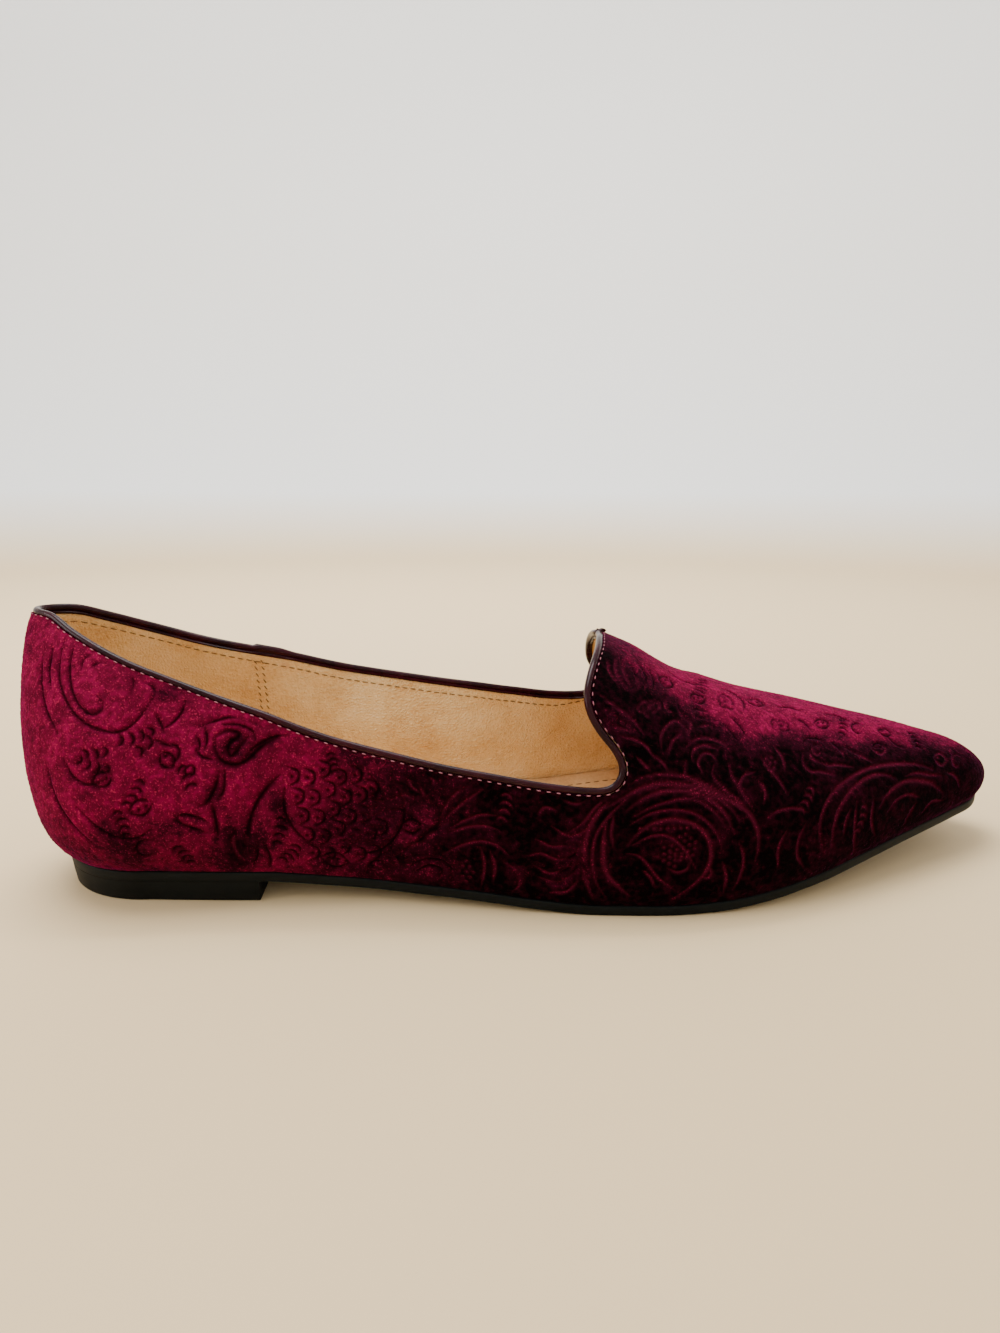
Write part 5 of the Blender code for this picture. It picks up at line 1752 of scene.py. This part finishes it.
cord_run = rim_middle + rim_across * (WALL / 2 + 0.10 * MM) + rim_up * 0.05 * MM
stitch_run("beading_stitches", [(cord_run, rim_across, True)], WINE_THREAD, "velvet",
           pitch=2.2 * MM, length=1.05 * MM, thread=0.25 * MM)


def upright_seam(side, station):
    """Two rows of points down the lining at a station."""
    rows = []
    for gap in (-0.9 * MM, 0.9 * MM):
        x = np.full(30, station + gap)
        foot, rim = float(foot_height(station, side)), float(collar_height(station, side))
        z = np.linspace(rim - 3.2 * MM, foot + 4.0 * MM, 30)
        y = side * face_width(x, z, side, WALL + 0.08 * MM)
        run = np.stack([x, y, z], axis=-1)
        rows.append((run, lining_out(run), False))
    return rows


LINING_SEAM = 51.0 * MM
seams = upright_seam(MEDIAL, LINING_SEAM) + upright_seam(LATERAL, LINING_SEAM)
stitch_run("lining_seam_stitches", seams, TAN_THREAD, "lining_leather", pitch=2.0 * MM, length=1.5 * MM,
           thread=0.34 * MM, tilt=0.5)


def insole_run():
    """A line four millimetres inside the insole's edge."""
    back, x, half, front = outline(CLEARANCE + INSOLE_THICKNESS, WALL, 4.3 * MM)
    left = np.column_stack([x, -half[:, 0]])
    right = np.column_stack([x, half[:, 1]])[::-1]
    flat = np.vstack([[(back, 0.0)], left, [(front, 0.0)], right])
    z = bed(flat[:, 0], flat[:, 1]) + CLEARANCE + INSOLE_THICKNESS + 0.06 * MM
    rise = SOCK_DISH * (1 - 3.7 * MM / SOCK_REACH) ** 2
    return np.column_stack([flat, z + rise])


sock_run = insole_run()
stitch_run("insole_stitches", [(sock_run, np.tile((0.0, 0.0, 1.0), (len(sock_run), 1)), True)], TAN_THREAD,
           "lining_leather", pitch=3.0 * MM, length=2.1 * MM, thread=0.4 * MM)

# %% [markdown]
# A plain pale floor that curves up into a pale wall all round, and soft
# studio light: one wide lamp above and behind for the top of the vamp, a small
# one at the heel, one that only lifts the far wall, and an even pale sky.

# %% Stage and light
FLAT_REACH, WALL_ROUND, WALL_TOP = 0.9, 0.5, 1.1


def make_floor():
    """A shallow round bowl: flat in the middle, rising to a wall far out."""
    look, tree, shader, place = new_material("pale_studio_floor")
    high = add(tree, "ShaderNodeSeparateXYZ", {0: place}).outputs["Z"]
    colour = ramp(tree, high, ((0.0, linear("#dabf92")), (0.10, linear("#e9e9e7"))))
    tree.links.new(colour, shader.inputs["Base Color"])
    shader.inputs["Roughness"].default_value = 0.7
    profile = [(0.0, 0.0), (0.4, 0.0), (FLAT_REACH, 0.0)]
    profile += [(FLAT_REACH + WALL_ROUND * math.sin(a), WALL_ROUND - WALL_ROUND * math.cos(a))
                for a in np.radians(np.linspace(8, 90, 12))]
    profile.append((FLAT_REACH + WALL_ROUND, WALL_TOP))
    sides = 96
    points, faces = [(0.05, 0.0, 0.0)], []
    for radius, height in profile[1:]:
        points += [(0.05 + radius * math.cos(a), radius * math.sin(a), height)
                   for a in np.linspace(0, 2 * math.pi, sides, endpoint=False)]
    for k in range(sides):
        n = (k + 1) % sides
        faces.append((0, 1 + k, 1 + n))
        for ring in range(len(profile) - 2):
            a, b = 1 + ring * sides, 1 + (ring + 1) * sides
            faces.append((a + k, b + k, b + n, a + n))
    mesh = bpy.data.meshes.new("floor")
    mesh.from_pydata([(x, y, z - 0.05 * MM) for x, y, z in points], [], faces)
    mesh.shade_smooth()
    mesh.materials.append(look)
    floor = bpy.data.objects.new("floor", mesh)
    bpy.context.scene.collection.objects.link(floor)
    return floor


def make_lamp(name, place, target, size, watts):
    data = bpy.data.lights.new(name, "AREA")
    data.shape = "DISK"
    data.size = size
    data.energy = watts
    lamp = bpy.data.objects.new(name, data)
    lamp.location = place
    lamp.rotation_euler = (Vector(target) - Vector(place)).to_track_quat("-Z", "Y").to_euler()
    lamp.visible_camera = False
    bpy.context.scene.collection.objects.link(lamp)


make_floor()
SHOE_MIDDLE = (0.08, 0.0, 0.03)
make_lamp("top_lamp", (-0.10, 0.15, 1.0), SHOE_MIDDLE, 0.7, 12.0)
make_lamp("heel_lamp", (-0.60, -0.15, 0.40), SHOE_MIDDLE, 0.35, 2.0)
make_lamp("wall_lamp", (0.10, 0.25, 0.95), (0.10, 1.40, 0.45), 0.6, 16.0)
world = bpy.data.worlds.new("sky")
world.use_nodes = True
world.node_tree.nodes["Background"].inputs["Color"].default_value = linear("#f2f3f5")
world.node_tree.nodes["Background"].inputs["Strength"].default_value = 1.25
bpy.context.scene.world = world
